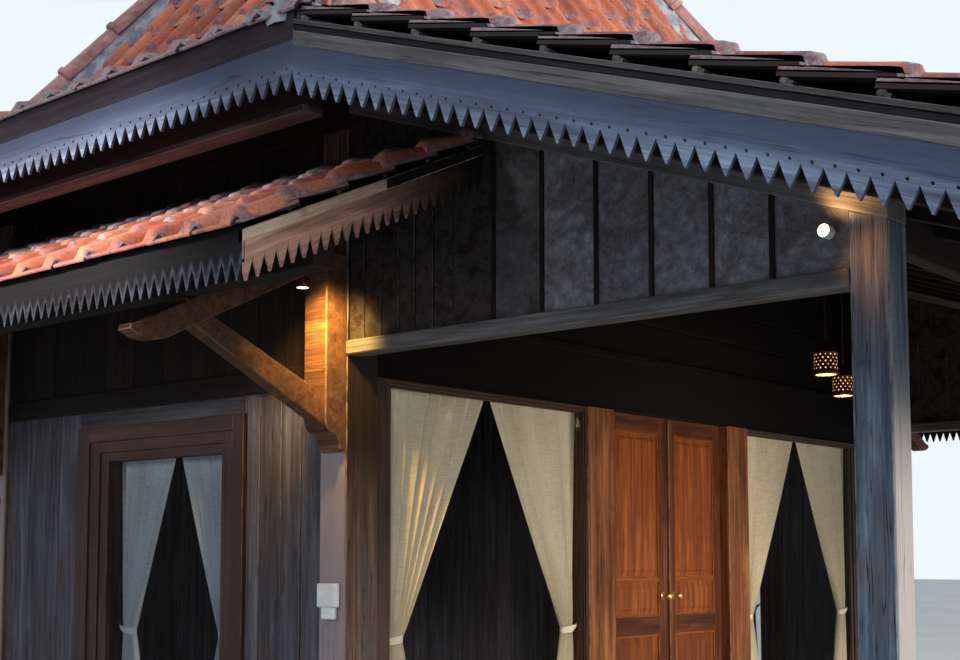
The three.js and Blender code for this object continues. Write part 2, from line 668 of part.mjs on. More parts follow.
function addPorch() {
  const postLefts = [
    0,
    ...MIDDLE_PORCH_POST_CENTRES.map((x) => x - PORCH_POST / 2),
    BODY_WIDTH - PORCH_POST,
  ];
  postLefts.forEach((x, i) => {
    const post = block([x, PORCH_POST_FRONT, 0], [x + PORCH_POST, PORCH_POST_BACK, PLATE_TOP]);
    addSolid(`porch_post_${i + 1}`, trimmed(post, [lowerFront]), woodGrey);
  });

  const beamTop = roofLine(PORCH_POST_BACK);
  const beam = block(
    [RAIL_INNER, PORCH_POST_BACK, beamTop - PORCH_BEAM_HEIGHT],
    [BODY_WIDTH - RAIL_INNER, PORCH_POST_BACK + PORCH_BEAM_THICKNESS, beamTop + 50]);
  addSolid('porch_beam', trimmed(beam, [lowerFront]), woodDark);

  const boards = block([PANEL_OUTER, PORCH_POST_BACK, RAIL_TOP - 20], [PANEL_INNER, 0, PLATE_TOP]);
  const rail = block([RAIL_OUTER, PORCH_POST_BACK, RAIL_BOTTOM], [RAIL_INNER, 0, RAIL_TOP]);
  const rake = trimmed(
    block([PANEL_OUTER - 10, PORCH_POST_BACK, RAIL_TOP], [RAIL_INNER, 0, PLATE_TOP]),
    [flipped(raised(lowerFront, -RAKE_BEAM_DEPTH))]);
  const panel = trimmed(boards.add(rake), [lowerFront]).add(rail);
  addSolid('porch_side_panel_left', panel, woodGrey);
  addSolid('porch_side_panel_right', mirrored(panel), woodGrey);
}

// One pair of tied back curtains on its track, seen from the front
function curtainPair(opening, trackHeight) {
  const middle = (opening.left + opening.right) / 2;
  const tieWidth = (opening.right - opening.left) * 0.12;
  const overlap = 25;
  const half = new THREE.Shape();
  half.moveTo(opening.left - overlap, trackHeight);
  half.lineTo(opening.left - overlap, CURTAIN_BOTTOM);
  half.lineTo(opening.left + tieWidth + 40, CURTAIN_BOTTOM);
  half.quadraticCurveTo(
    opening.left + tieWidth + 30, CURTAIN_TIE_HEIGHT - 250, opening.left + tieWidth, CURTAIN_TIE_HEIGHT);
  half.quadraticCurveTo(
    opening.left + tieWidth * 2, CURTAIN_TIE_HEIGHT + 350, middle - 20, trackHeight);
  return half;
}

function addCurtains() {
  const frontOpening = {
    left: CORNER_POST_WIDTH + CORNER_JAMB,
    right: centreX - DOOR_OPENING_HALF - DOOR_POST_WIDTH - DOOR_JAMB,
  };
  const frontTrackBottom = HEAD_HEIGHT - TRACK_HEIGHT;
  const frontOverrun = DOOR_JAMB - 3;
  const frontShape = curtainPair(frontOpening, frontTrackBottom + TRACK_HEIGHT / 2);
  const frontNear = WINDOW_FRAME_BACK + CURTAIN_CLEARANCE;
  const frontHalf = alongY(frontShape, frontNear, frontNear + CURTAIN_THICKNESS);
  const frontMiddle = frontOpening.left + frontOpening.right;
  const frontTrack = block(
    [frontOpening.left - frontOverrun, WINDOW_FRAME_BACK, frontTrackBottom],
    [frontOpening.right + frontOverrun, WINDOW_FRAME_BACK + TRACK_DEPTH, HEAD_HEIGHT]);
  const frontPair = frontTrack
    .add(frontHalf)
    .add(frontHalf.mirror([1, 0, 0]).translate([frontMiddle, 0, 0]));
  addSolid('front_curtains_left', frontPair, linen);
  addSolid('front_curtains_right', mirrored(frontPair), linen);

  const sideOpening = { left: SIDE_GLASS_NEAR, right: SIDE_GLASS_FAR };
  const sideTrackBottom = SIDE_GLASS_TOP + 20;
  const sideShape = curtainPair(sideOpening, sideTrackBottom + TRACK_HEIGHT / 2);
  const sideNear = SIDE_FRAME_INNER + CURTAIN_CLEARANCE;
  const sideHalf = alongX(sideShape, sideNear, sideNear + CURTAIN_THICKNESS);
  const sideTrack = block(
    [SIDE_FRAME_INNER, sideOpening.left - 60, sideTrackBottom],
    [SIDE_FRAME_INNER + TRACK_DEPTH, sideOpening.right + 60, sideTrackBottom + TRACK_HEIGHT]);
  const sidePair = sideTrack
    .add(sideHalf)
    .add(sideHalf.mirror([0, 1, 0]).translate([0, sideOpening.left + sideOpening.right, 0]));
  addSolid('side_curtains_left', sidePair, linen);
  addSolid('side_curtains_right', mirrored(sidePair), linen);
}

// A lantern on a taut stem under the porch roof
function addPendant(name, x, y, bottom) {
  const stemTop = roofLine(y) + 20 - bottom;
  const profile = [
    [0, 0], [52, 0], [64, 14], [64, 112], [46, 150], [14, 176], [5, 182], [5, stemTop], [0, stemTop],
  ];
  const lathe = new THREE.LatheGeometry(profile.map(([r, h]) => new THREE.Vector2(r, h)), 16);
  lathe.rotateX(Math.PI / 2);
  lathe.translate(x, y, bottom);
  addSolid(name, trimmed(toSolid(lathe), [lowerFront]), bronze);
}

function addLamps() {
  addPendant('pendant_lamp_1', 2250, -1300, 2190);
  addPendant('pendant_lamp_2', 3200, -940, 2190);

  const downlightX = -210;
  const downlightRadius = 32;
  const downlightTop = ARM_UNDERSIDE_AT_POST + ARM_SLOPE * (downlightX - downlightRadius) - SEAT;
  addSolid(
    'bracket_lamp',
    upright(downlightX, LEG_WIDTH / 2, downlightTop - 45, downlightTop, downlightRadius), lampWhite);

  const spot = new THREE.CylinderGeometry(25, 25, 45, ROUND_SIDES);
  spot.rotateZ(Math.PI / 2);
  const mesh = addMesh('porch_lamp', spot, lampWhite);
  mesh.position.set(PANEL_OUTER - 45 / 2 - SEAT / 2, -2430, 2375);
}

function addSocketBox() {
  const upper = block([-40, 30, 1000], [0, 150, 1110]);
  const lower = block([-32, 48, 945], [0, 128, 1010]);
  addSolid('socket_box', upper.add(lower), whitePlastic);
}

addPlinth();
addCornerPosts();
addDoorPosts();
addFrontWallHead();
addDoor();
addFrontWindows();
addSideWalls();
addBackWall();
addWallPlate();
addLowerRoof();
addUpperRoof();
addCaps();
addFascias();
addAwnings();
addPorch();
addCurtains();
addLamps();
addSocketBox();

const part = new THREE.Group();
part.add(house);

export default part;
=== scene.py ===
import math
import random
import bpy
import numpy as np
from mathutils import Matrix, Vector, noise


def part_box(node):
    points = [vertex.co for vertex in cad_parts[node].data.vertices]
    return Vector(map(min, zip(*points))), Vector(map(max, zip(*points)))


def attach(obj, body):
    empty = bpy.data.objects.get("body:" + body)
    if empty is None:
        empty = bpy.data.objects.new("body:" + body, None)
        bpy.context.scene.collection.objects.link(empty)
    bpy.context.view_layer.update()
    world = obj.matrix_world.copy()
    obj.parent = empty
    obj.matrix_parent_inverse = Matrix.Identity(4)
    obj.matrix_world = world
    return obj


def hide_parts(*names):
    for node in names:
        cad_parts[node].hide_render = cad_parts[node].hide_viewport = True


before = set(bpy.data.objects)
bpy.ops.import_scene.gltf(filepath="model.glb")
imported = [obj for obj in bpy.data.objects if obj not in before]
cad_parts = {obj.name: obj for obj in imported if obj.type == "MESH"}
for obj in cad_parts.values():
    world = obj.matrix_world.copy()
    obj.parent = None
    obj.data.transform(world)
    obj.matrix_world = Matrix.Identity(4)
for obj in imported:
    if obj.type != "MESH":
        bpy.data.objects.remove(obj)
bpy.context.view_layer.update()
random.seed(7)

# Main sizes in metres, in the house's own frame: x runs to the right along the front wall,
# y to the back and z up from the floor, with the body's front left corner at x 0 and y 0
SEAT = 0.0003
plate_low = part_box("wall_plate")[0]
ORIGIN = np.array([plate_low.x - SEAT / 2, plate_low.y - SEAT / 2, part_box("plinth_floor")[1].z + SEAT])
AXES = np.eye(3)


def box_of(node):
    low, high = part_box(node)
    return np.array(low) - ORIGIN, np.array(high) - ORIGIN


BODY_WIDTH, BODY_DEPTH, PLATE_TOP = box_of("wall_plate")[1] + SEAT / 2
PLATE_BOTTOM = box_of("wall_plate")[0][2]
EAVE = -box_of("lower_roof_left")[0][0]
FRONT_EAVE = -box_of("lower_roof_front")[0][1]
BACK_EAVE = box_of("lower_roof_back")[1][1]
HIP_RUN = BACK_EAVE - BODY_DEPTH
FASCIA_THICKNESS = 0.025
FASCIA_ABOVE = 0.05
FASCIA_BELOW = 0.175
RAKE_DROP = 0.02
EAVE_LINE = box_of("fascia_left")[1][2] - FASCIA_ABOVE
FRONT_SLOPE = (PLATE_TOP - EAVE_LINE) / HIP_RUN
SIDE_SLOPE = (PLATE_TOP - EAVE_LINE) / EAVE
FRONT_LINE = PLATE_TOP - FRONT_SLOPE * FRONT_EAVE
CENTRE_X = BODY_WIDTH / 2

# Roof boarding and the steep roof
SLAB = 0.06
DECK_BOARD = 0.145
STEEP_BOARDING = 0.06
STEEP_BOARDING_BELOW = 0.07
STEEP_FRONT_SLOPE = 1.66
STEEP_END_SLOPE = 1.38
STEEP_OUT = 0.15
STEEP_BASE = 3.5
CAP_RADIUS = 0.115
LOWER_CAP_RADIUS = 0.1

# Side awnings
AWNING_BELOW = 0.16
AWNING_ABOVE = 0.045
AWNING_LINE = box_of("awning_fascia_left")[0][2] + AWNING_BELOW
AWNING_SLOPE = 0.465
AWNING_BOARDING = 0.035
AWNING_FRONT = box_of("awning_roof_left")[0][1]
AWNING_BACK = box_of("awning_roof_left")[1][1]
WALL_LINE = AWNING_LINE + AWNING_SLOPE * EAVE

# Brackets, and the purlins that they carry
LEG_OUT, LEG_WIDTH, LEG_TOP, LEG_BOTTOM = 0.13, 0.15, 2.64, 1.72
ARM_WIDTH, ARM_SLOPE, ARM_UNDERSIDE, ARM_DEPTH, ARM_TAIL = 0.09, 0.5, 2.63, 0.12, 1.18
PURLIN_OUT, PURLIN_WIDTH = 0.95, 0.1
PURLIN_INNER = PURLIN_WIDTH - PURLIN_OUT
EAVE_PURLIN_BOTTOM = 2.938
ARM_TOP_AT_PURLIN = ARM_UNDERSIDE + ARM_DEPTH + ARM_SLOPE * PURLIN_INNER + SEAT
RAKE_BEAM_DEPTH = 0.088

# Clay tiles
TILE_WIDTH = 0.222
TILE_STEP = 0.278
TILE_LENGTH = 0.342
TILE_LIFT = 0.032
TILE_BASE = 0.036
TILE_LAYER = 0.08
TILE_OVERHANG = 0.03
BATTEN_WIDTH, BATTEN = 0.028, 0.024
AWNING_OVERHANG = 0.068
AWNING_TILES_SUNK = 0.02


def tint(colour, share=1.0):
    """Linear values of a colour given as it looks on a screen, 0 to 255. Four values are linear already."""
    if len(colour) == 4:
        return colour
    return tuple(share * (value / 255) ** 2.2 for value in colour) + (1.0,)


class Value:
    """A number inside a material, which can be added, subtracted and multiplied."""

    def __init__(self, finish, socket):
        self.finish, self.socket = finish, socket

    def __add__(self, other):
        return self.finish.maths("ADD", self, other)

    def __sub__(self, other):
        return self.finish.maths("SUBTRACT", self, other)

    def __mul__(self, other):
        return self.finish.maths("MULTIPLY", self, other)

    def __abs__(self):
        return self.finish.maths("ABSOLUTE", self)


class Finish:
    """A material, with short ways to make and join its nodes."""

    def __init__(self, name):
        self.material = bpy.data.materials.new(name)
        self.material.use_nodes = True
        self.tree = self.material.node_tree
        self.shader = next(node for node in self.tree.nodes if node.type == "BSDF_PRINCIPLED")

    def link(self, value, socket):
        if isinstance(value, Value):
            self.tree.links.new(value.socket, socket)
        else:
            socket.default_value = tint(value) if socket.type == "RGBA" else value

    def node(self, kind, values=(), output=0, **settings):
        """The output of a new node. Its values go by the names or numbers of its inputs."""
        node = self.tree.nodes.new("ShaderNode" + kind)
        for key, value in settings.items():
            setattr(node, key, value)
        for key, value in dict(values).items():
            self.link(value, node.inputs[key])
        return Value(self, node.outputs[output])

    def attribute(self, name):
        return self.node("Attribute", output="Vector", attribute_name=name)

    def parts(self, vector):
        node = self.node("SeparateXYZ", {0: vector}).socket.node
        return [Value(self, socket) for socket in node.outputs]

    def noise(self, vector, scale, detail=4.0, rough=0.55, distortion=0.0):
        scale = scale if isinstance(scale, tuple) else (scale, scale, scale)
        place = self.node("VectorMath", {0: vector, 1: scale}, operation="MULTIPLY")
        values = {"Vector": place, "Scale": 1.0, "Detail": detail, "Roughness": rough,
            "Distortion": distortion}
        return self.node("TexNoise", values)

    def maths(self, operation, first, second=0.0):
        return self.node("Math", {0: first, 1: second}, operation=operation)

    def span(self, value, low, high, to_low=0.0, to_high=1.0):
        values = {0: value, 1: low, 2: high, 3: to_low, 4: to_high}
        return self.node("MapRange", values, interpolation_type="SMOOTHSTEP")

    def ramp(self, value, *stops):
        ramp = self.node("ValToRGB", {0: value})
        points = ramp.socket.node.color_ramp.elements
        while len(points) < len(stops):
            points.new(0.5)
        for point, (place, colour) in zip(points, stops):
            point.position = place
            point.color = tint(colour)
        return ramp

    def mix(self, factor, first, second, blend="MIX"):
        return self.node("Mix", {0: factor, 6: first, 7: second}, 2, data_type="RGBA", blend_type=blend)

    def finish(self, colour, roughness, height=None, relief=0.002, **constants):
        self.link(colour, self.shader.inputs["Base Color"])
        self.link(roughness, self.shader.inputs["Roughness"])
        if height is not None:
            bump = self.node("Bump", {"Height": height, "Distance": relief, "Strength": 1.0})
            self.link(bump, self.shader.inputs["Normal"])
        for key, value in constants.items():
            self.shader.inputs[key.replace("_", " ")].default_value = value
        return self.material


def wood(name, dark, middle, light, patch, worn, roughness=0.82, cracks=0.7, relief=0.003, fade_and_shading=None,
        gloss=0.3):
    """Timber: streaks, fibres, drying cracks and weathered patches that follow each board's own grain.
    As its age-and-shading value rises it turns to the colour fade_and_shading, which on the awning and porch
    panel boards is painted shade and on the porch posts painted light; a value below zero is painted shade,
    near black."""
    f = Finish(name)
    place = f.attribute("grain")
    chance, wear, age = f.parts(f.attribute("tone"))
    streaks = f.noise(place, (1.3, 24, 24), 7.0, 0.66, 0.25)
    fibres = f.noise(place, (7, 190, 190), 4.0, 0.7)
    broad = f.noise(place, (1.6, 5.5, 5.5), 4.0, 0.6, 0.4)
    blotch = f.noise(place, (9, 14, 14), 5.0, 0.7, 0.5)
    lines = f.noise(place, (0.9, 34, 34), 2.0, 0.5, 0.3)
    crack = f.span(abs(lines - 0.5), 0.0, 0.018, 1.0, 0.0) * f.span(broad, 0.44, 0.6) * cracks
    mixed = streaks * 0.75 + fibres * 0.25
    colour = f.ramp(mixed, (0.36, dark), (0.5, middle), (0.64, light))
    colour = f.mix(f.span(broad, 0.46, 0.62), colour, f.mix(0.55, colour, patch))
    colour = f.mix(f.span(blotch, 0.56, 0.75, 0.0, 0.6), colour, dark)
    # The fade_and_shading colour: painted shade on the awning and porch panel boards, painted light on the
    # porch posts.
    if fade_and_shading is not None:
        colour = f.mix(f.span(age + broad * 0.5, 0.25, 1.1), colour, fade_and_shading)
        # Painted shade: a value below zero darkens the wood to near black.
        colour = f.mix(f.span(age, -1.0, 0.0, 0.9, 0.0), colour, (14, 10, 9))
    brighter = chance * 0.5 + 0.75
    colour = f.mix(1.0, colour, f.node("CombineXYZ", {0: brighter, 1: brighter, 2: brighter}), "MULTIPLY")
    colour = f.mix(wear * f.span(blotch, 0.35, 0.6), colour, worn)
    colour = f.mix(crack, colour, tint(dark, 0.12))
    height = mixed * 1.1 + blotch * 0.35 - crack * 0.8
    rough = f.span(mixed, 0.3, 0.7, roughness - 0.08, min(1.0, roughness + 0.1))
    return f.finish(colour, rough, height, relief, Specular_IOR_Level=gloss)


def tile_finish(name):
    """Clay tiles: every tile's own tone, soot in the pans, lichen on the lips and where they are old, and
    painted shade, near black, where the age-and-shading value runs highest.
    """
    f = Finish(name)
    place = f.attribute("grain")
    chance, lip, age = f.parts(f.attribute("tone"))
    fine = f.noise(place, 60, 6.0, 0.7)
    cloud = f.noise(place, 9, 5.0, 0.65)
    spots = f.noise(place, 34, 5.0, 0.75)
    clay = f.ramp(chance * 0.7 + cloud * 0.3, (0.1, (122, 66, 56)), (0.4, (176, 98, 76)),
        (0.68, (204, 122, 92)),
                  (0.95, (214, 148, 124)))
    clay = f.mix(f.span(fine, 0.42, 0.7, 0.0, 0.45), clay, (96, 54, 50))
    clay = f.mix(f.span(cloud + (age + lip) * 0.17, 0.54, 0.76, 0.0, 0.85), clay, (96, 80, 92))
    lichen = f.span(spots + (lip + age) * 0.1, 0.58, 0.74, 0.0, 0.8)
    clay = f.mix(lichen, clay, f.mix(cloud, (104, 95, 108), (172, 154, 156)))
    # Painted shade: the clay turns near black under the tiles, in the eave notches and on the awnings' upper
    # rows.
    clay = f.mix(f.span(age, 1.3, 1.8, 0.0, 0.93), clay, (24, 19, 21))
    return f.finish(clay, 0.82, fine * 0.5 + lichen * 0.5, 0.002, Specular_IOR_Level=0.3)


def rough_finish(name, dark, light, scale, roughness, relief, **constants):
    """A plain mineral, metal or plastic surface with cloudy colour and a fine relief."""
    f = Finish(name)
    place = f.attribute("grain")
    chance = f.parts(f.attribute("tone"))[0]
    cloud = f.noise(place, scale, 6.0, 0.65)
    fine = f.noise(place, scale * 9, 4.0, 0.7)
    colour = f.ramp(cloud * 0.8 + chance * 0.2, (0.35, dark), (0.65, light))
    rough = f.span(fine, 0.3, 0.7, max(0.05, roughness - 0.1), min(1.0, roughness + 0.1))
    return f.finish(colour, rough, cloud + fine * 0.5, relief, **constants)


def linen_finish(name, shade, deep):
    """Woven linen, with threads both ways and slubs. The grain holds the place on the flat cloth."""
    f = Finish(name)
    place = f.attribute("grain")
    across, along = f.parts(place)[0:2]
    warp = f.maths("SINE", across * (2 * math.pi / 0.0022))
    weft = f.maths("SINE", along * (2 * math.pi / 0.0024))
    slubs = f.noise(place, (9, 420, 1), 3.0, 0.6)
    threads = f.noise(place, (420, 9, 1), 3.0, 0.6)
    soft = f.noise(place, (2.5, 1.5, 1), 4.0, 0.6)
    value = slubs * 0.5 + threads * 0.3 + soft * 0.3
    return f.finish(
        f.ramp(value, (0.42, deep), (0.62, shade)), 0.95, warp * weft * 0.3 + value, 0.0006,
        Sheen_Weight=0.25, Sheen_Roughness=0.5, Specular_IOR_Level=0.15, Subsurface_Weight=0.0)


def glass_finish(name):
    f = Finish(name)
    cloud = f.noise(f.node("TexCoord", output="Object"), 3, 4.0, 0.6)
    colour = f.ramp(cloud, (0.3, (22, 24, 26)), (0.7, (36, 38, 40)))
    return f.finish(colour, 0.05, Alpha=0.05, Specular_IOR_Level=0.15)


def glow_finish(name, colour, strength):
    """A lit surface; the colour has linear values."""
    f = Finish(name)
    cloud = f.noise(f.attribute("grain"), 30, 3.0, 0.5)
    dimmer = tuple(value * 0.85 for value in colour[:3]) + (1.0,)
    shade = f.ramp(cloud, (0.3, dimmer), (0.7, colour))
    f.link(shade, f.shader.inputs["Emission Color"])
    return f.finish(shade, 0.5, Emission_Strength=strength)


FASCIA_WOOD = wood(
    "weathered fascia", (66, 72, 90), (105, 117, 142), (144, 160, 186), (92, 93, 106), (130, 138, 152),
    cracks=0.6, fade_and_shading=(62, 71, 93))
# Its near-black fade colour is painted shade on the board above the teeth.
AWNING_EAVE_WOOD = wood(
    "awning eave boards", (52, 52, 60), (78, 79, 92), (108, 109, 124), (70, 62, 66), (104, 102, 110),
    cracks=0.6, fade_and_shading=(19, 18, 21))
# Its dark fade colour is painted shade towards the wall.
AWNING_WOOD = wood(
    "awning rake boards", (128, 94, 84), (190, 144, 128), (226, 188, 172), (150, 118, 110), (208, 176, 162),
    cracks=0.5, fade_and_shading=(28, 23, 23))
# Its dark fade colour is painted shade on the upper half of the rake's top boards.
PALE_WOOD = wood(
    "awning top boards", (124, 100, 90), (180, 150, 134), (210, 184, 168), (134, 110, 98), (206, 184, 170),
    cracks=0.5, fade_and_shading=(28, 24, 24))
BOARD_WOOD = wood(
    "weathered boards", (48, 46, 52), (70, 69, 78), (95, 95, 106), (72, 60, 58), (100, 98, 102))
# Its dark fade colour is painted shade towards the house.
PANEL_WOOD = wood(
    "porch panel boards", (76, 74, 80), (109, 109, 120), (141, 141, 152), (86, 78, 78), (92, 90, 94),
    cracks=0.6, fade_and_shading=(36, 26, 20))
RAIL_WOOD = wood(
    "grey brown rails", (62, 60, 62), (89, 88, 92), (116, 114, 118), (74, 67, 66), (110, 108, 110))
MAROON_WOOD = wood(
    "dark eave boards", (20, 15, 20), (33, 26, 34), (50, 42, 50), (30, 20, 24), (60, 52, 60))
# Its pale fade colour is painted light on the lower front faces of the porch posts.
POST_WOOD = wood(
    "porch posts", (50, 60, 74), (82, 97, 118), (122, 134, 150), (92, 88, 90), (140, 140, 144),
    cracks=1.0, fade_and_shading=(154, 147, 146))
BROWN_WOOD = wood(
    "brown posts", (54, 39, 32), (90, 68, 57), (124, 100, 86), (88, 80, 80), (128, 110, 96),
    cracks=1.0, fade_and_shading=(138, 128, 134))
BRACKET_WOOD = wood(
    "brackets", (50, 32, 24), (82, 54, 40), (116, 82, 62), (70, 50, 40), (120, 92, 74), cracks=0.8)
RED_WOOD = wood(
    "door posts", (68, 41, 26), (116, 72, 45), (152, 102, 68), (90, 55, 34), (146, 106, 78),
    roughness=0.74, cracks=0.8, gloss=0.12)
FRAME_WOOD = wood(
    "window frames", (38, 24, 20), (60, 40, 34), (84, 60, 52), (48, 31, 26), (88, 66, 56), roughness=0.6,
    cracks=0.3)
DOOR_WOOD = wood(
    "teak door", (74, 37, 17), (116, 62, 29), (150, 88, 46), (98, 49, 24), (146, 90, 50),
    roughness=0.62, cracks=0.15, relief=0.0015, gloss=0.12)
DOOR_DARK = wood(
    "dark stiles", (52, 27, 18), (84, 47, 30), (110, 70, 48), (66, 35, 25), (112, 74, 52),
    roughness=0.72, cracks=0.15, relief=0.0015, gloss=0.12)
# Dark timber; its colour is darkened further as painted shade for the shade under the roofs.
ROOF_WOOD = wood(
    "roof timber", (20, 15, 14), (33, 25, 23), (48, 38, 35), (27, 19, 19), (50, 40, 37), roughness=0.9)
# Painted shade: darker still, for the timbers over the front windows in deep shade under the porch roof.
SHADED_WOOD = wood(
    "dark wall timber", (12, 9, 10), (19, 15, 16), (29, 24, 25), (16, 11, 12), (32, 27, 27), roughness=0.92,
    gloss=0.15)
PURLIN_WOOD = wood("eave purlin", (42, 35, 38), (66, 55, 60), (92, 80, 86), (50, 40, 44), (98, 86, 90))
SLAT_WOOD = wood("grey laths", (42, 40, 43), (68, 66, 71), (98, 95, 99), (58, 50, 50), (112, 108, 110))
TILE = tile_finish("clay tiles")
CAP_CLAY = rough_finish("cap tiles", (122, 72, 72), (186, 140, 138), 9.0, 0.8, 0.004)
LICHEN = rough_finish("lichen on tile lugs", (70, 70, 62), (130, 126, 114), 30.0, 0.95, 0.004)
MORTAR = rough_finish("lime mortar", (112, 112, 124), (186, 184, 190), 11.0, 0.95, 0.006)
STONE = rough_finish("plinth stone", (110, 106, 100), (160, 156, 148), 8.0, 0.9, 0.006)
FLOOR_STONE = rough_finish("floor slabs", (122, 112, 100), (160, 150, 138), 5.0, 0.6, 0.002)
BRASS = rough_finish("aged brass", (150, 116, 62), (226, 192, 120), 60.0, 0.3, 0.0004, Metallic=1.0)
LANTERN = rough_finish("dark bronze", (38, 22, 18), (78, 46, 34), 40.0, 0.45, 0.0006, Metallic=0.6)
PLASTIC = rough_finish("white plastic", (196, 204, 208), (226, 230, 230), 14.0, 0.4, 0.0003)
LINEN = linen_finish("linen", (242, 232, 206), (204, 190, 162))
# Painted light: the side windows' linen is tinted blue for the cool sky light on that side, a copy of the
# front linen in another light.
SKYLIT_LINEN = linen_finish("side window linen", (176, 188, 200), (134, 146, 160))
GLASS = glass_finish("window glass")
WARM_GLOW = glow_finish("lamp glow", (1.0, 0.8, 0.5, 1.0), 8.0)
SOFT_GLOW = glow_finish("lantern glow", (1.0, 0.46, 0.13, 1.0), 1.6)


class Shape:
    """Points and faces of one piece, with the place in the grain and the tone at every face corner."""

    def __init__(self):
        self.points, self.faces, self.grain, self.tone, self.slots = [], [], [], [], []
        self.count = 0

    def add(self, points, faces, grain, wear=0.0, age=0.0, chance=None, slot=0, offset=None,
            by_point=False):
        """Wear goes by faces, or by points if it says so; age and shading go by points."""
        chance = random.random() if chance is None else chance
        offset = random_offset(90) if offset is None else offset
        sizes = [len(face) for face in faces]
        corners = np.concatenate([np.asarray(face) for face in faces])
        tone = np.empty((len(corners), 3))
        tone[:, 0] = chance
        if by_point:
            tone[:, 1] = np.asarray(wear)[corners]
        else:
            tone[:, 1] = np.repeat(np.broadcast_to(wear, len(faces)), sizes)
        tone[:, 2] = np.broadcast_to(age, len(points))[corners]
        self.points.append(np.asarray(points, float))
        self.faces += [tuple(int(i) + self.count for i in face) for face in faces]
        self.grain.append(np.asarray(grain, float)[corners] + offset)
        self.tone.append(tone)
        self.slots += [slot] * len(faces)
        self.count += len(points)

    def mirrored(self, axis):
        """The mirror image on the other side of the body, across it (axis 0) or along it (axis 1)."""
        copy = Shape()
        copy.points = [np.concatenate(self.points)]
        copy.points[0][:, axis] = (BODY_WIDTH, BODY_DEPTH)[axis] - copy.points[0][:, axis]
        starts = np.cumsum([0] + [len(face) for face in self.faces])
        copy.faces = [face[::-1] for face in self.faces]
        order = np.concatenate([
            np.arange(stop - 1, start - 1, -1) for start, stop in zip(starts, starts[1:])])
        copy.grain = [np.concatenate(self.grain)[order] + 7.3 * (axis + 1)]
        copy.tone = [np.concatenate(self.tone)[order]]
        copy.slots = list(self.slots)
        copy.count = self.count
        return copy

    def join(self, other):
        self.faces += [tuple(i + self.count for i in face) for face in other.faces]
        self.points += other.points
        self.grain += other.grain
        self.tone += other.tone
        self.slots += other.slots
        self.count += other.count


def random_offset(reach):
    return np.array([random.uniform(-reach, reach) for _ in range(3)])


def piece(name, shape, finishes, replaces=(), body="house", smooth=None):
    """One object of the scene, from a shape in the house's own frame."""
    mesh = bpy.data.meshes.new(name)
    mesh.from_pydata((np.concatenate(shape.points) + ORIGIN).tolist(), [], shape.faces)
    for key, values in (("grain", shape.grain), ("tone", shape.tone)):
        attribute = mesh.attributes.new(key, "FLOAT_VECTOR", "CORNER")
        attribute.data.foreach_set("vector", np.concatenate(values).astype(np.float32).ravel())
    for material in finishes if isinstance(finishes, list) else [finishes]:
        mesh.materials.append(material)
    mesh.polygons.foreach_set("material_index", shape.slots)
    if smooth is not None:
        mesh.shade_smooth()
        mesh.set_sharp_from_angle(angle=math.radians(smooth))
    mesh.update()
    made = bpy.data.objects.new(name, mesh)
    bpy.context.scene.collection.objects.link(made)
    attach(made, body)
    if replaces:
        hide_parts(*([replaces] if isinstance(replaces, str) else replaces))
    return made


def both_sides(name, shape, finishes, node):
    """The piece on the left and its mirror image on the right, each in place of its own node."""
    piece(f"{name}_left", shape, finishes, f"{node}_left")
    piece(f"{name}_right", shape.mirrored(0), finishes, f"{node}_right")


def unit(vector):
    return vector / np.linalg.norm(vector)


def wall_place(axis, away, along, height):
    """A place by its depth in a side wall (axis 0) or in the front (axis 1)."""
    return (away, along, height) if axis == 0 else (along, away, height)


def grid(rows, columns, closed=False, turned=False):
    """The faces between points held row by row: a sheet, or a tube where each row is closed."""
    faces = []
    for a in range(rows - 1):
        for b in range(columns if closed else columns - 1):
            c = (b + 1) % columns
            near, far = a * columns, (a + 1) * columns
            quad = (near + b, near + c, far + c, far + b)
            faces.append((near + b, far + b, far + c, near + c) if turned else quad)
    return faces


def inset(outline, distance):
    """The outline moved inwards; its points run counterclockwise."""
    moved = []
    for i, point in enumerate(outline):
        before, after = unit(point - outline[i - 1]), unit(outline[(i + 1) % len(outline)] - point)
        first, second = np.array([-before[1], before[0]]), np.array([-after[1], after[0]])
        moved.append(point + distance * (first + second) / max(0.3, 1 + first @ second))
    return np.array(moved)


def cut_corners(outline, size):
    """The outline with its sharp corners cut off, and which of its edges are such cuts."""
    points, cuts = [], []
    for i, point in enumerate(outline):
        before, after = outline[i - 1] - point, outline[(i + 1) % len(outline)] - point
        reach = min(np.linalg.norm(before), np.linalg.norm(after))
        before, after = unit(before), unit(after)
        if before @ after > -0.85 and reach > 2.5 * size:
            points += [point + before * size, point + after * size]
            cuts += [1.0, 0.0]
        else:
            points.append(point)
            cuts.append(0.0)
    return np.array(points), cuts


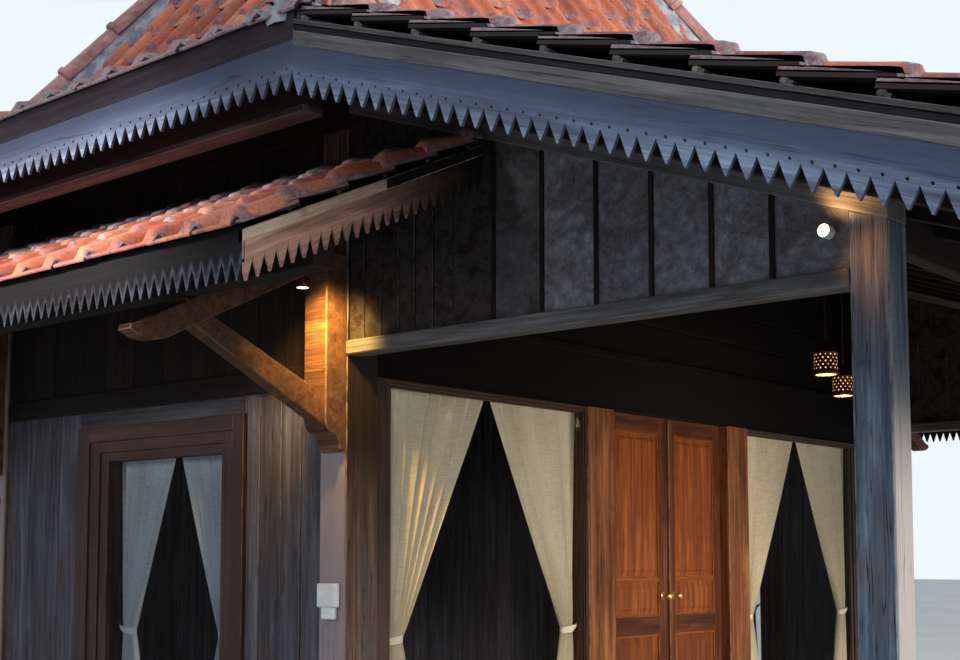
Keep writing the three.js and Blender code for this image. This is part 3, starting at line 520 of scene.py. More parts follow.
def prism(shape, outline, basis, origin, length, chamfer=0.004, wander=0.0, age=0.0, chance=None, slot=0):
    """An outline in the basis' first two directions, carried along the third, with worn edges."""
    basis = np.asarray(basis, float)
    outer, cuts = cut_corners(np.asarray(outline, float), chamfer)
    inner = inset(outer, chamfer * 0.8)
    stations = [0.0, chamfer]
    if wander:
        stations += list(np.linspace(0, length, max(2, int(length / 0.3)))[1:-1])
    stations += [length - chamfer, length]
    points, grain = [], []
    for i, station in enumerate(stations):
        section = inner if i in (0, len(stations) - 1) else outer
        for u, v in section + np.array([random.uniform(-wander, wander) for _ in range(2)]):
            points.append(np.asarray(origin) + basis[0] * u + basis[1] * v + basis[2] * station)
            grain.append((station, u, v))
    size = len(outer)
    faces = grid(len(stations), size, closed=True)
    faces += [tuple(range(size))[::-1], tuple(range(len(points) - size, len(points)))]
    wear = [1.0] * size + cuts * (len(stations) - 3) + [1.0] * size + [0.3, 0.3]
    if np.linalg.det(basis) < 0:
        faces = [face[::-1] for face in faces]
    ages = [age(point) for point in points] if callable(age) else age
    shape.add(points, faces, grain, wear, ages, chance, slot)


def bar(shape, low, high, axis=None, **settings):
    """A squared timber between two corners, with its grain along its longest side or the given axis."""
    low, high = np.asarray(low, float), np.asarray(high, float)
    size = high - low
    axis = int(np.argmax(size)) if axis is None else axis
    first, second = (axis + 1) % 3, (axis + 2) % 3
    outline = [(0, 0), (size[first], 0), (size[first], size[second]), (0, size[second])]
    prism(shape, outline, AXES[[first, second, axis]], low, size[axis], **settings)


def ring(shape, axis, near, far, outer, inner, **settings):
    """Four bars round an opening that lies square to the axis: 0 for a side wall, 1 for the front."""
    (left, bottom), (right, top) = outer
    (left_in, bottom_in), (right_in, top_in) = inner
    spans = [
        ((left, bottom), (left_in, top)), ((right_in, bottom), (right, top)),
        ((left_in, bottom), (right_in, bottom_in)), ((left_in, top_in), (right_in, top))]
    for (a, b), (c, d) in spans:
        if min(c - a, d - b) >= 0.002:
            bar(shape, wall_place(axis, near, a, b), wall_place(axis, far, c, d), **settings)


def lathe(shape, centre, profile, sides, axis=AXES[2], slot=0):
    """A turned form: radius and distance along the axis, from one end to the other."""
    first = unit(np.cross(axis, AXES[0] if abs(axis[0]) < 0.9 else AXES[1]))
    second = np.cross(axis, first)
    points, grain = [], []
    for radius, along in profile:
        for i in range(sides):
            angle = 2 * math.pi * i / sides
            u, v = max(radius, 1e-5) * math.cos(angle), max(radius, 1e-5) * math.sin(angle)
            points.append(np.asarray(centre) + axis * along + first * u + second * v)
            grain.append((along, u, v))
    shape.add(points, grid(len(profile), sides, closed=True), grain, slot=slot)


class Plane:
    """A roof plane, held as the height of its top over the origin and its slopes along x and y."""

    def __init__(self, height, slope_x, slope_y, lift=0.0):
        self.height, self.slope = height, np.array([slope_x, slope_y])
        self.steep = np.linalg.norm(self.slope)
        self.flat = self.slope / self.steep
        self.across = np.array([self.flat[1], -self.flat[0], 0])
        self.run = 1 / math.hypot(1, self.steep)
        self.up = np.array([*(self.flat * self.run), self.steep * self.run])
        self.normal = np.cross(self.across, self.up)
        self.height += lift / self.normal[2]

    def beside(self, other):
        """The plan line as far as which this plane is the lower one: normal and reach."""
        return (*(self.slope - other.slope), other.height - self.height)

    def start(self, reach):
        """The point of the plane over the plan line that far from the origin along its fall."""
        return np.array([*(self.flat * reach), self.height + self.steep * reach])


def limits(plane, edges, reach, s):
    """The least and greatest place across, at the distances s up the slope, inside the edges."""
    low, high = np.full(np.shape(s), -1e3), np.full(np.shape(s), 1e3)
    for nx, ny, end in edges:
        normal = np.array([nx, ny])
        rate = normal @ plane.across[:2]
        rest = end - (normal @ plane.flat) * (reach + np.asarray(s) * plane.run)
        if rate > 1e-9:
            high = np.minimum(high, rest / rate)
        elif rate < -1e-9:
            low = np.maximum(low, rest / rate)
    return low, high


# One tile's section across the roof, and along it with the weathering of its lower end: the roll on
# its right covers the next tile's edge and closes in a dome at the foot
SECTION = np.array([
    (0.0, 0.021), (0.012, 0.019), (0.03, 0.010), (0.06, 0.004), (0.1, 0.002), (0.14, 0.005), (0.172, 0.012),
    (0.184, 0.026), (0.198, 0.042), (0.214, 0.051), (0.230, 0.051), (0.246, 0.042), (0.258, 0.026),
    (0.266, 0.006)])
RUN = np.array([
    (TILE_LENGTH, -0.012, 0.0), (0.02, -0.012, 0.4), (0.001, -0.014, 1.0), (-0.003, -0.008, 1.0),
    (0.0, -0.002, 1.0),
    (0.010, 0.0, 1.0), (0.03, 0.001, 0.8), (0.07, 0.001, 0.45), (0.16, 0.0, 0.1), (TILE_LENGTH, 0.0, 0.0)])
ROLL_START, ROLL_END = 0.165, 0.275
# Each dome's length, the length of its curve and its least height
DOME, EAVE_DOME = (0.045, 0.052, 0.25), (0.034, 0.042, 0.4)
TONGUE = 0.016
EAVE_PAN = 0.022
EAVE_SWELL = 1.2
EAVE_LIP = 0.008
VERGE_CUT = 0.09
VERGE_SWELL = 1.35
# Painted shade, in the units of the tiles' age value.
PAINTED_SHADE_AGE = 2.0
LUG = [(0, 0), (0.016, 0), (0.016, 0.026), (0, 0.026)]


def tile_template(at_eave, lichen):
    """A tile's points and faces, its weathering and its painted shade: near black under the tile and, at the
    eave, beside each roll's foot. At the eave it has a level, straight lip.
    """
    wide, long = len(SECTION), len(RUN)
    across, section = (np.tile(column, long) for column in SECTION.T)
    along, drop, lip = (np.repeat(column, wide) for column in RUN.T)
    row = np.repeat(np.arange(long), wide)
    on_roll = (across > ROLL_START) & (across < ROLL_END)
    start, size, least = EAVE_DOME if at_eave else DOME
    dome = np.clip(1 - (np.clip(start - along, 0, 1) / size) ** 2, least, 1)
    # Painted shade on the two rows under the tile.
    painted_shade = PAINTED_SHADE_AGE * (row < 2)
    if at_eave:
        section = np.where(on_roll, section * (EAVE_SWELL * dome), section)
        section = np.maximum(section, EAVE_PAN * np.clip(1.4 - along / 0.1, 0, 1))
        # Painted shadow in the notch beside each roll's foot at the eave.
        painted_shade = np.maximum(painted_shade, PAINTED_SHADE_AGE * ((across > 0.25) & (along < 0.04)))
        lip = lip * lichen
        height = section + drop
        height = np.where((row == 1) | (row == 2), np.minimum(height, EAVE_LIP), height)
    else:
        height = np.where(on_roll, section * dome, section) + drop
        tongue = TONGUE * np.clip(1 - ((across - 0.1) / 0.09) ** 2, 0, 1) * np.clip(1 - along / 0.06, 0, 1)
        along = along - np.where(on_roll, 0.0, tongue)
    faces = grid(long, wide)
    for edge, turn in ((0, 1), (wide - 1, -1)):
        for i in range(1, long // 2):
            rows = (i, i + 1, long - 1 - i, long - i)
            faces.append(tuple(wide * place + edge for place in rows)[::turn])
    return across, along, height + TILE_BASE, faces, lip, painted_shade


def no_shade(row, from_front):
    return 0.0


def awning_shade(row, from_front):
    """Painted shade: the upper rows are darkened as they lie in the shade under the main roof, but not those
    beside the front verge.
    """
    return 1.4 * min(1.0, max(0.0, row - 4.5 + 1.3 * min(from_front, 2)))


def tiles(plane, edges, reach, top, old, seed, shade=no_shade, front_first=False, eave=True,
        overhang=TILE_OVERHANG,
          cut=0.0, lichen=2.0):
    """All the tiles of one plane, from its eave up to the distance top; cut widens them at a verge."""
    shape = Shape()
    rng = np.random.default_rng(seed)
    low, high = (float(value) for value in limits(plane, edges, reach, 0.0))
    low -= cut
    columns = max(1, round((high - low) / TILE_WIDTH))
    width = (high - low) / columns
    origin = plane.start(reach)
    for row in range(math.ceil((top + overhang) / TILE_STEP)):
        foot = row * TILE_STEP - overhang
        at_eave = eave and row == 0
        across, along, height, faces, lips, painted_shade = tile_template(at_eave, lichen)
        lift = 0.0 if at_eave else TILE_LIFT * (1 - along / TILE_LENGTH)
        on_roll = (across > ROLL_START) & (across < ROLL_END)
        near, far = limits(plane, edges, reach, foot + TILE_STEP * 0.5)
        for column in range(columns):
            left = low + column * width
            if left + width * 0.7 < near - cut or left + width * 0.3 > far:
                continue
            first, last = column == 0, column == columns - 1
            u = left + across * width / TILE_WIDTH
            s = foot + along + rng.uniform(-0.004, 0.004)
            turn = rng.uniform(-0.010, 0.010)
            u = u + (along - 0.1) * turn + rng.uniform(-0.002, 0.002)
            s = np.minimum(s - (across - 0.1) * turn, top)
            least, most = limits(plane, edges, reach, s)
            u = np.minimum(np.maximum(u, least - 0.012), most + 0.05 * last)
            h = height + rng.uniform(-0.002, 0.002) + lift
            if cut and first:
                h = h + (VERGE_SWELL - 1) * np.where(on_roll, height - TILE_BASE, 0.0)
            points = origin + np.outer(u, plane.across) + np.outer(s, plane.up) + np.outer(h, plane.normal)
            place = Vector(points[0]) * 0.9
            patch = noise.noise(place) * 0.9 + noise.noise(place * 3.1) * 0.4
            from_front = column if front_first else columns - 1 - column
            # Weathering, plus painted shade under the tile, in eave notches and on the awnings' upper rows.
            age = float(np.clip(old + patch, 0, 1.2)) + painted_shade + shade(row, from_front)
            chance = float(np.clip(rng.normal(0.5, 0.22) + patch * 0.25, 0, 1))
            wear = lips + 1.2 * (first * (across < cut + 0.02) + last * (across > 0.26))
            shape.add(points, faces, np.column_stack([along, across, height]), wear, age, chance,
                by_point=True)
            if eave and (first or last) and s.max() < top:
                side = low + cut - 0.006 if first else left + width - 0.012
                start = (origin + plane.across * side + plane.up * (foot + TILE_LENGTH - 0.03)
                         + plane.normal * 0.01)
                prism(shape, LUG, [plane.across, plane.up, plane.normal], start, 0.03, chamfer=0.006,
                    slot=1)
    return shape


def battens(shape, plane, edges, reach, top):
    """Battens across the roof under the upper ends of the tiles."""
    outline = [(0, 0), (BATTEN_WIDTH, 0), (BATTEN_WIDTH, BATTEN), (0, BATTEN)]
    for row in range(math.ceil((top + TILE_OVERHANG) / TILE_STEP)):
        s = row * TILE_STEP - TILE_OVERHANG + TILE_LENGTH - 0.045
        near, far = (float(value) for value in limits(plane, edges, reach, s))
        if s + 0.03 > top or far - near < 0.2:
            continue
        origin = plane.start(reach) + plane.across * (near - 0.004) + plane.up * s
        prism(shape, outline, [plane.up, plane.normal, plane.across], origin, far - near + 0.008,
            chamfer=0.002)


# Each wall's distance from the origin, and the way that the planes over it rise
FAR = {"front": 0.0, "back": BODY_DEPTH, "left": 0.0, "right": BODY_WIDTH}
INWARD = {"front": (0, 1), "back": (0, -1), "left": (1, 0), "right": (-1, 0)}
SIDES = [(-1, 0, EAVE), (1, 0, BODY_WIDTH + EAVE)]


def by_wall(front, back, left, right):
    """Plan lines that lie so far inside the four walls, counted along each plane's rise."""
    return {name: inside - FAR[name] for name, inside in zip(FAR, (front, back, left, right))}


def wall_plane(name, height, slope):
    """The plane that rises inwards from a wall, with its height over that wall's line."""
    x, y = INWARD[name]
    return Plane(height + slope * FAR[name], x * slope, y * slope)


def steep_plane(name, slope):
    over_wall = STEEP_BASE + slope * STEEP_OUT - STEEP_BOARDING_BELOW * math.hypot(1, slope)
    return wall_plane(name, over_wall, slope)


REACH = by_wall(-FRONT_EAVE, -HIP_RUN, -EAVE, -EAVE)
FOOT = by_wall(-0.063, -0.063, -0.053, -0.053)
DECK_END = by_wall(0.15, 0.15, 0.15, 0.15)
END_WALLS = ("left", "right")
lower = {name: wall_plane(name, PLATE_TOP + SLAB,
    SIDE_SLOPE if name in END_WALLS else FRONT_SLOPE) for name in FAR}
steep = {name: steep_plane(name,
    STEEP_END_SLOPE if name in END_WALLS else STEEP_FRONT_SLOPE) for name in FAR}
awnings = {name: wall_plane(name, WALL_LINE + AWNING_BOARDING, AWNING_SLOPE) for name in END_WALLS}


def along_edges(planes, name):
    return [planes[name].beside(planes[other]) for other in planes if other != name]


def deck(shape, plane, edges, reach, start, stop, thick):
    """Boards across the roof with their tops on the plane: a layer with open joints and one over it."""
    rows = math.ceil((stop - start) / DECK_BOARD)
    stations = np.linspace(start, stop, rows + 1)
    near, far = limits(plane, edges, reach, stations)
    origin = plane.start(reach)
    faces = [(3, 2, 1, 0), (4, 5, 6, 7)] + grid(2, 4, closed=True)
    for i in range(rows):
        if far[i] - near[i] < 0.05:
            continue
        for low, high, gap in ((-thick, -thick + 0.02, 0.003), (-thick + 0.021, 0.0, 0.0)):
            grain = [
                (u, s, h) for h in (low, high) for u, s in (
                    (near[i], stations[i] + gap), (far[i], stations[i] + gap),
                    (max(far[i + 1], near[i + 1]), stations[i + 1]), (near[i + 1], stations[i + 1]))]
            points = [origin + plane.across * u + plane.up * s + plane.normal * h for u, s, h in grain]
            shape.add(points, faces, grain)


def build_roofs():
    laths = Shape()
    for i, (name, plane) in enumerate(lower.items()):
        at_end = name in END_WALLS
        edges = along_edges(lower, name) + ([] if at_end else SIDES)
        top = (FOOT[name] - 0.05 - REACH[name]) / plane.run
        shape = tiles(plane, edges, REACH[name], top, 0.7, 20 + i, cut=0.0 if at_end else VERGE_CUT,
            lichen=1.6)
        piece(f"lower_tiles_{name}", shape, [TILE, LICHEN], smooth=50)
        battens(laths, plane, edges, REACH[name], top)
        boarding = Shape()
        stop = (DECK_END[name] - REACH[name]) / plane.run
        deck(boarding, plane, edges, REACH[name], 0.0, stop, SLAB * plane.normal[2])
        if at_end:
            purlin = Shape()
            for step, bottom, height, slot in ((0.0, 0.03, 3.098, 0),
                    (0.004, 0.0, EAVE_PURLIN_BOTTOM + 0.0295, 1)):
                bar(purlin, (-PURLIN_OUT - step, -0.74, EAVE_PURLIN_BOTTOM + bottom),
                    (PURLIN_INNER, BODY_DEPTH + 0.74, height), axis=1, chamfer=0.004 if slot else 0.005,
                    slot=slot)
            boarding.join(purlin if name == "left" else purlin.mirrored(0))
        piece(f"lower_roof_boards_{name}", boarding, [ROOF_WOOD, PURLIN_WOOD],
            f"lower_roof_{name}")
    boarding = Shape()
    for i, (name, plane) in enumerate(steep.items()):
        edges = along_edges(steep, name)
        middle = (BODY_WIDTH if name in END_WALLS else BODY_DEPTH) / 2
        shape = tiles(plane, edges, FOOT[name], (middle + 0.05) / plane.run, -0.15, 40 + i, eave=False)
        piece(f"steep_tiles_{name}", shape, TILE, smooth=50)
        deck(boarding, plane, edges, FOOT[name], -0.03, (middle + 0.06) / plane.run, STEEP_BOARDING)
    piece("steep_roof_boards", boarding, ROOF_WOOD, "upper_roof")
    for i, (name, plane) in enumerate(awnings.items()):
        edges = [(0, -1, -AWNING_FRONT), (0, 1, AWNING_BACK)]
        top = (EAVE - 0.01) / plane.run
        bed = Plane(plane.height, *plane.slope, -AWNING_TILES_SUNK)
        shape = tiles(bed, edges, REACH[name], top, -0.4, 60 + i, awning_shade, name == "right",
                      overhang=AWNING_OVERHANG, lichen=0.5)
        piece(f"awning_tiles_{name}", shape, [TILE, LICHEN], smooth=50)
        boarding, purlin = Shape(), Shape()
        deck(boarding, plane, edges, REACH[name], 0.0, top, AWNING_BOARDING * plane.normal[2])
        bar(purlin, (-PURLIN_OUT, AWNING_FRONT, ARM_TOP_AT_PURLIN),
            (PURLIN_INNER, AWNING_BACK, WALL_LINE - AWNING_SLOPE * PURLIN_OUT), axis=1, chamfer=0.005)
        boarding.join(purlin if name == "left" else purlin.mirrored(0))
        piece(f"awning_boards_{name}", boarding, ROOF_WOOD, f"awning_roof_{name}")
    piece("tile_battens", laths, SLAT_WOOD)


# A cap's stations and swell, and the mortar beside it: reach in cap radii and height over the tiles
CAP_STEP, CAP_LAP, CAP_FLATTENING = 0.41, 0.05, 0.92
CAP_RUN = [(0.0, -0.016), (-0.003, 0.006), (0.004, 0.014), (0.034, 0.015), (0.046, 0.002)]
MORTAR_PROFILE = ((0.3, 0.06), (0.8, 0.05), (1.05, 0.03), (1.5, 0.012), (2.0, -0.004), (2.12, -0.06))


def cap_row(caps, mortar, start, end, sides, radius):
    """Half round caps from start up to end, bedded in mortar over the two planes beside them."""
    length = np.linalg.norm(end - start)
    run = (end - start) / length
    lift = sides[0].normal + sides[1].normal
    lift = unit(lift - run * (lift @ run))
    side = np.cross(run, lift)
    count = max(1, round(length / CAP_STEP))
    step = length / count
    angles = np.radians(np.linspace(-98, 98, 15))
    stations = CAP_RUN + [(step + CAP_LAP, -0.010)]
    faces = grid(len(stations), len(angles), turned=True)
    for i in range(count):
        twist = random.uniform(-0.03, 0.03)
        sink = random.uniform(-0.004, 0.004)
        points, grain = [], []
        for along, swell in stations:
            for angle in angles:
                across = math.sin(angle + twist) * (radius + swell)
                height = math.cos(angle + twist) * (radius + swell) * CAP_FLATTENING + sink
                points.append(start + run * (i * step + along) + side * across + lift * height)
                grain.append((along, angle * radius, swell))
        caps.add(points, faces, grain)
    plug = [start - run * 0.002 + lift * radius * 0.3]
    inside = radius - 0.012
    for angle in angles:
        across, height = math.sin(angle) * inside, math.cos(angle) * inside * CAP_FLATTENING
        plug.append(start + run * 0.014 + side * across + lift * height)
    fan = [(0, i, i + 1) for i in range(1, len(angles))] + [(0, len(angles), 1)]
    mortar.add(plug, fan, plug)
    wide = len(MORTAR_PROFILE)
    for sign, plane, other in ((-1, *sides), (1, *sides[::-1])):
        outward = np.cross(plane.normal, run)
        outward *= -np.sign(outward @ other.normal)
        rings = max(3, int(length / 0.05))
        points, grain = [], []
        for i in range(rings + 1):
            along = length * i / rings
            wave = 0.03 * noise.noise(Vector((along * 6, radius * 50, sign * 3)))
            wave += random.uniform(-0.005, 0.005)
            taper = min(1.0, 0.45 + along / 0.35)
            for reach, height in MORTAR_PROFILE:
                spread = radius * reach * taper + (wave if reach > 1.2 else 0)
                rise = height + random.uniform(-0.004, 0.004)
                points.append(start + run * along + outward * spread + plane.normal * rise)
                grain.append((along, spread, rise))
        foot = len(points)
        points.append(start - plane.normal * 0.06)
        grain.append((0, 0, 0))
        faces = grid(rings + 1, wide) + [(foot, i + 1, i) for i in range(wide - 1)]
        if np.cross(run, outward) @ plane.normal > 0:
            faces = [face[::-1] for face in faces]
        mortar.add(points, faces, grain)


def meeting(planes, first, second, row, value):
    """The point on the line where two planes meet, with row @ point equal to the value."""
    rows = [[*planes[name].slope, -1] for name in (first, second)] + [row]
    return np.linalg.solve(np.array(rows, float), [-planes[first].height, -planes[second].height, value])


def build_caps():
    """Caps and mortar over the middle height of the tiles."""
    caps, mortar = Shape(), Shape()
    covered = {name: Plane(p.height, *p.slope, TILE_LAYER) for name, p in steep.items()}
    flat = {name: Plane(p.height + TILE_LAYER, *p.slope) for name, p in lower.items()}
    top = covered["front"].height + STEEP_FRONT_SLOPE * BODY_DEPTH / 2
    for end in END_WALLS:
        outwards = -INWARD[end][0]
        for face in ("front", "back"):
            high = meeting(covered, face, end, AXES[2], top)
            low = meeting(covered, face, end, AXES[2], PLATE_TOP + 0.16)
            cap_row(caps, mortar, low, high, (covered[face], covered[end]), CAP_RADIUS)
            eave = meeting(flat, face, end, AXES[0], FAR[end] + outwards * (EAVE + 0.005))
            wall = meeting(flat, face, end, AXES[0], FAR[end] + outwards * 0.02)
            cap_row(caps, mortar, eave, wall, (flat[face], flat[end]), LOWER_CAP_RADIUS)
    left, right = (meeting(covered, "front", end, AXES[2], top) for end in END_WALLS)
    cap_row(caps, mortar, left, right, (covered["front"], covered["back"]), CAP_RADIUS)
    piece("ridge_and_hip_cap_tiles", caps, CAP_CLAY, "ridge_and_hip_caps", smooth=45)
    piece("cap_mortar", mortar, MORTAR, smooth=60)


def rising_age(along, rise):
    # The value rises from the board's foot to its top; with the fascia's colours the board turns darker
    # upwards.
    return rise


def painted_wall_shade(along, rise):
    """Painted shade: darker towards the wall, where the main roof shades the board."""
    return 1.3 * max(0.0, along - 0.3)


def painted_overhang_shade(along, rise):
    """Painted shade: darker above the teeth, where the tiles' overhang shades the board."""
    return 3.2 * max(0.0, rise - 0.3)


def toothed_board(shape, start, end, out, top, bottom, pitch, depth, hole=0.0, tip=0.03, slot=0,
        aging_and_shading=rising_age):
    """A board cut into pointed teeth along its lower edge; top and bottom are heights over its line."""
    thickness = 0.012
    length = np.linalg.norm(end - start)
    count = round(length / pitch)
    cell = (end - start) / count
    size = length / count
    flip = np.cross(cell, AXES[2]) @ out < 0
    chance = random.random()
    offset = random_offset(50)
    apex, middle = bottom + depth, bottom + depth * 0.42
    half_ring = [(math.sin(a), math.cos(a)) for a in np.linspace(math.pi, 2 * math.pi, 5)] if hole else []
    half_ring = [(0.5 + x * hole / size, apex + 0.009 + z * hole) for x, z in half_ring]
    other_half = [(1 - x, z) for x, z in half_ring[::-1]]
    for i in range(count):
        lean = random.uniform(-0.03, 0.03)
        point = bottom + random.uniform(-0.002, 0.002)
        points, grain, age, faces, wear = [], [], [], [], []

        def put(u, z, back, tone):
            points.append(start + cell * (i + u) + AXES[2] * z - out * back)
            grain.append(((i + u) * size, z, -back))
            age.append(tone)

        def edging(outline, tone=None, closed=False, worn=0.0):
            """The board's thickness along a part of its outline."""
            base = len(points)
            for u, z in outline:
                for back in (0.0, thickness):
                    put(u, z, back, aging_and_shading((i + u) / count, 1.0) if tone is None else tone)
            for j in range(len(outline) if closed else len(outline) - 1):
                k = (j + 1) % len(outline)
                quad = (base + 2 * j, base + 2 * j + 1, base + 2 * k + 1, base + 2 * k)
                faces.append(quad[::-1] if flip else quad)
                wear.append(worn)

        edge = [(0, apex), (0.26 + lean, middle), (0.5 - tip + lean, point), (0.5 + lean, point),
                (0.5 + tip + lean, point), (0.74 + lean, middle), (1, apex)]
        halves = (edge[:4] + half_ring + [(0.5, top), (0, top)],
            edge[3:] + [(1, top), (0.5, top)] + other_half)
        for back in (0.0, thickness):
            for outline in halves:
                first = len(points)
                for u, z in outline:
                    put(u, z, back, aging_and_shading((i + u) / count, (z - bottom) / (top - bottom)))
                face = tuple(range(first, len(points)))
                faces.append(face if (back == 0) != flip else face[::-1])
                wear.append(0.0)
        edging(edge)
        if hole:
            edging((half_ring + other_half[1:-1])[::-1], 0.5, closed=True)
        edging([(1, top), (0, top)], 1.0, worn=0.5)
        shape.add(points, faces, grain, wear, age, chance, slot, offset)


def strip(shape, start, end, out, bottom, top, back, **settings):
    """A straight board along a line, from bottom to top over it and back behind its face."""
    length = np.linalg.norm(end - start)
    outline = [(0, bottom), (back, bottom), (back, top), (0, top)]
    prism(shape, outline, [-out, AXES[2], (end - start) / length], start, length, **settings)


# Boards over the teeth: how far the face is set back, bottom, top, thickness, chamfer and finish
RAKE_BOARDS = (
    (0.0, -0.006, 0.047, 0.024, 0.003, 1), (0.012, 0.05, 0.07, 0.012, 0.002, 2),
    (0.0, 0.072, 0.088, 0.03, 0.002, 3))
EAVE_BOARDS = ((0.003, -0.006, 0.104, 0.02, 0.003, 2),)


def eave_boards(shape, start, end, out, raking):
    """Toothed board with the upper board above it, and on a rake the laths under the tiles."""
    out = np.array(out, float)
    start, end = (np.array(place) + out * FASCIA_THICKNESS for place in (start, end))
    toothed_board(
        shape, start - out * 0.005, end - out * 0.005, out, -0.004, -FASCIA_BELOW - 0.006, 0.065, 0.068,
        hole=0.0055)
    for back, bottom, top, thick, chamfer, slot in RAKE_BOARDS if raking else EAVE_BOARDS:
        strip(shape, start - out * back, end - out * back, out, bottom, top, thick, chamfer=chamfer,
            slot=slot)


def build_fascias():
    finishes = [FASCIA_WOOD, RAIL_WOOD, MAROON_WOOD, SLAT_WOOD]
    front_line = FRONT_LINE - RAKE_DROP
    side = Shape()
    eave_boards(side, (-EAVE, -HIP_RUN, EAVE_LINE - RAKE_DROP), (-EAVE, -FRONT_EAVE, front_line),
        (-1, 0, 0), True)
    eave_boards(side, (-EAVE, -HIP_RUN, EAVE_LINE), (-EAVE, BACK_EAVE, EAVE_LINE), (-1, 0, 0), False)
    both_sides("toothed_fascia", side, finishes, "fascia")
    over = EAVE + FASCIA_THICKNESS
    for name, y, line, out in (("front", -FRONT_EAVE, front_line, -1), ("back", BACK_EAVE, EAVE_LINE, 1)):
        shape = Shape()
        eave_boards(shape, (-over, y, line), (BODY_WIDTH + over, y, line), (0, out, 0), False)
        piece(f"toothed_fascia_{name}", shape, finishes, f"fascia_{name}")


def build_awning_boards():
    """Toothed boards along the awning's eave and rakes, with a board over the teeth of each rake."""
    shape = Shape()
    over = FASCIA_THICKNESS
    corner_x = -EAVE - over
    low, high = (np.array([corner_x, y, AWNING_LINE]) for y in (AWNING_FRONT - over, AWNING_BACK + over))
    toothed_board(
        shape, low, high, -AXES[0], AWNING_ABOVE - 0.01, -AWNING_BELOW, 0.0567, 0.076, tip=0.06, slot=2,
        aging_and_shading=painted_overhang_shade)
    foot = AWNING_LINE - AWNING_SLOPE * over
    for y, side in ((AWNING_FRONT, -1), (AWNING_BACK, 1)):
        out = AXES[1] * side
        start, end = np.array([corner_x, y, foot]), np.array([0, y, WALL_LINE])
        toothed_board(
            shape, start + out * (over - 0.004), end + out * (over - 0.004), out, -0.012, -AWNING_BELOW,
            0.062, 0.085, slot=1, aging_and_shading=painted_wall_shade)
        middle = start + (end - start) * 0.55
        # Painted shade: the upper half of each rake's top board is darker, for the shade under the main
        # roof.
        for a, b, age in ((start, middle, 0.0), (middle, end, 0.8)):
            strip(shape, a + out * over, b + out * over, out, -0.014, 0.033, 0.024, chamfer=0.003, age=age,
                chance=0.5)
        near, far = sorted((y + side * 0.003, y + side * (over - 0.0045)))
        bar(shape, (corner_x + 0.0125, near, foot - 0.09), (-EAVE - 0.002, far, foot + 0.04), axis=2,
            chamfer=0.002, slot=2)
    both_sides("awning_fascia_boards", shape, [PALE_WOOD, AWNING_WOOD, AWNING_EAVE_WOOD],
        "awning_fascia")


def curve(first, control, last, steps=6):
    """The points of a bend after its first one."""
    first, control, last = (np.array(value, float) for value in (first, control, last))
    return [
        (1 - t) ** 2 * first + 2 * t * (1 - t) * control + t * t * last
        for t in np.linspace(0, 1, steps + 1)[1:]]


def carry_y(shape, outline, low, high, **settings):
    """An outline in x and z, counterclockwise seen from the front, carried back along y."""
    prism(shape, outline, [AXES[0], AXES[2], -AXES[1]], (0, high, 0), high - low, **settings)


def roof_line(y):
    """The height of the front roof's underside."""
    return PLATE_TOP + FRONT_SLOPE * y


def arm_line(x):
    """The height of the bracket arm's underside."""
    return ARM_UNDERSIDE + ARM_SLOPE * x


def corner_age(point):
    """Grey on the outer face below the leg; painted shade on the front, darker upwards from 1.4 m, where the
    bracket shades it.
    """
    if point[0] < 0.006:
        return 0.85 if point[2] < LEG_TOP - 0.4 else 0.0
    return -min(1.0, max(0.0, (point[2] - 1.4) / 0.35)) if point[1] < 0.009 else 0.0


def build_brackets():
    """Corner posts, each with the leg, the arm with a carved tail and the strut of its bracket."""
    post = Shape()
    bar(post, (0, 0, 0), (0.216, 0.177, PLATE_BOTTOM), chamfer=0.008, wander=0.0015, chance=0.45,
        age=corner_age)
    leg = [(0, LEG_BOTTOM), (0, LEG_TOP), (-LEG_OUT, LEG_TOP), (-LEG_OUT, LEG_BOTTOM + 0.15)]
    leg += curve(leg[-1], (-LEG_OUT, LEG_BOTTOM + 0.09), (-LEG_OUT * 0.62, LEG_BOTTOM + 0.08))
    leg += curve(leg[-1], (-LEG_OUT * 0.28, LEG_BOTTOM + 0.07), (-LEG_OUT * 0.25, LEG_BOTTOM))
    carry_y(post, np.array(leg) - (0.0006, 0), 0.0, LEG_WIDTH, chamfer=0.006, chance=0.6, slot=1)
    start, high = 0.21 - ARM_TAIL, arm_line(0.15 - ARM_TAIL) + ARM_DEPTH
    arm = [(0, ARM_UNDERSIDE), (0, ARM_UNDERSIDE + ARM_DEPTH), (0.15 - ARM_TAIL, high)]
    arm += curve(arm[-1], (0.09 - ARM_TAIL, high - 0.05), (0.01 - ARM_TAIL, high - 0.062))
    arm.append((-ARM_TAIL, high - 0.085))
    arm += curve(arm[-1], (0.11 - ARM_TAIL, arm_line(start) - 0.055), (start, arm_line(start)))
    near, far = (LEG_WIDTH - ARM_WIDTH) / 2, (LEG_WIDTH + ARM_WIDTH) / 2
    carry_y(post, arm, near, far, chamfer=0.005, chance=0.35, slot=1)
    strut = [(-0.06, 1.815), (-0.06, 1.955), (-0.9, 2.32), (-0.88, 2.214)]
    carry_y(post, strut, near + 0.004, far - 0.004, chamfer=0.005, chance=0.55, slot=1)
    finishes = [BROWN_WOOD, BRACKET_WOOD]
    both_sides("front_corner_post", post, finishes, "corner_post_front")
    both_sides("back_corner_post", post.mirrored(1), finishes, "corner_post_back")


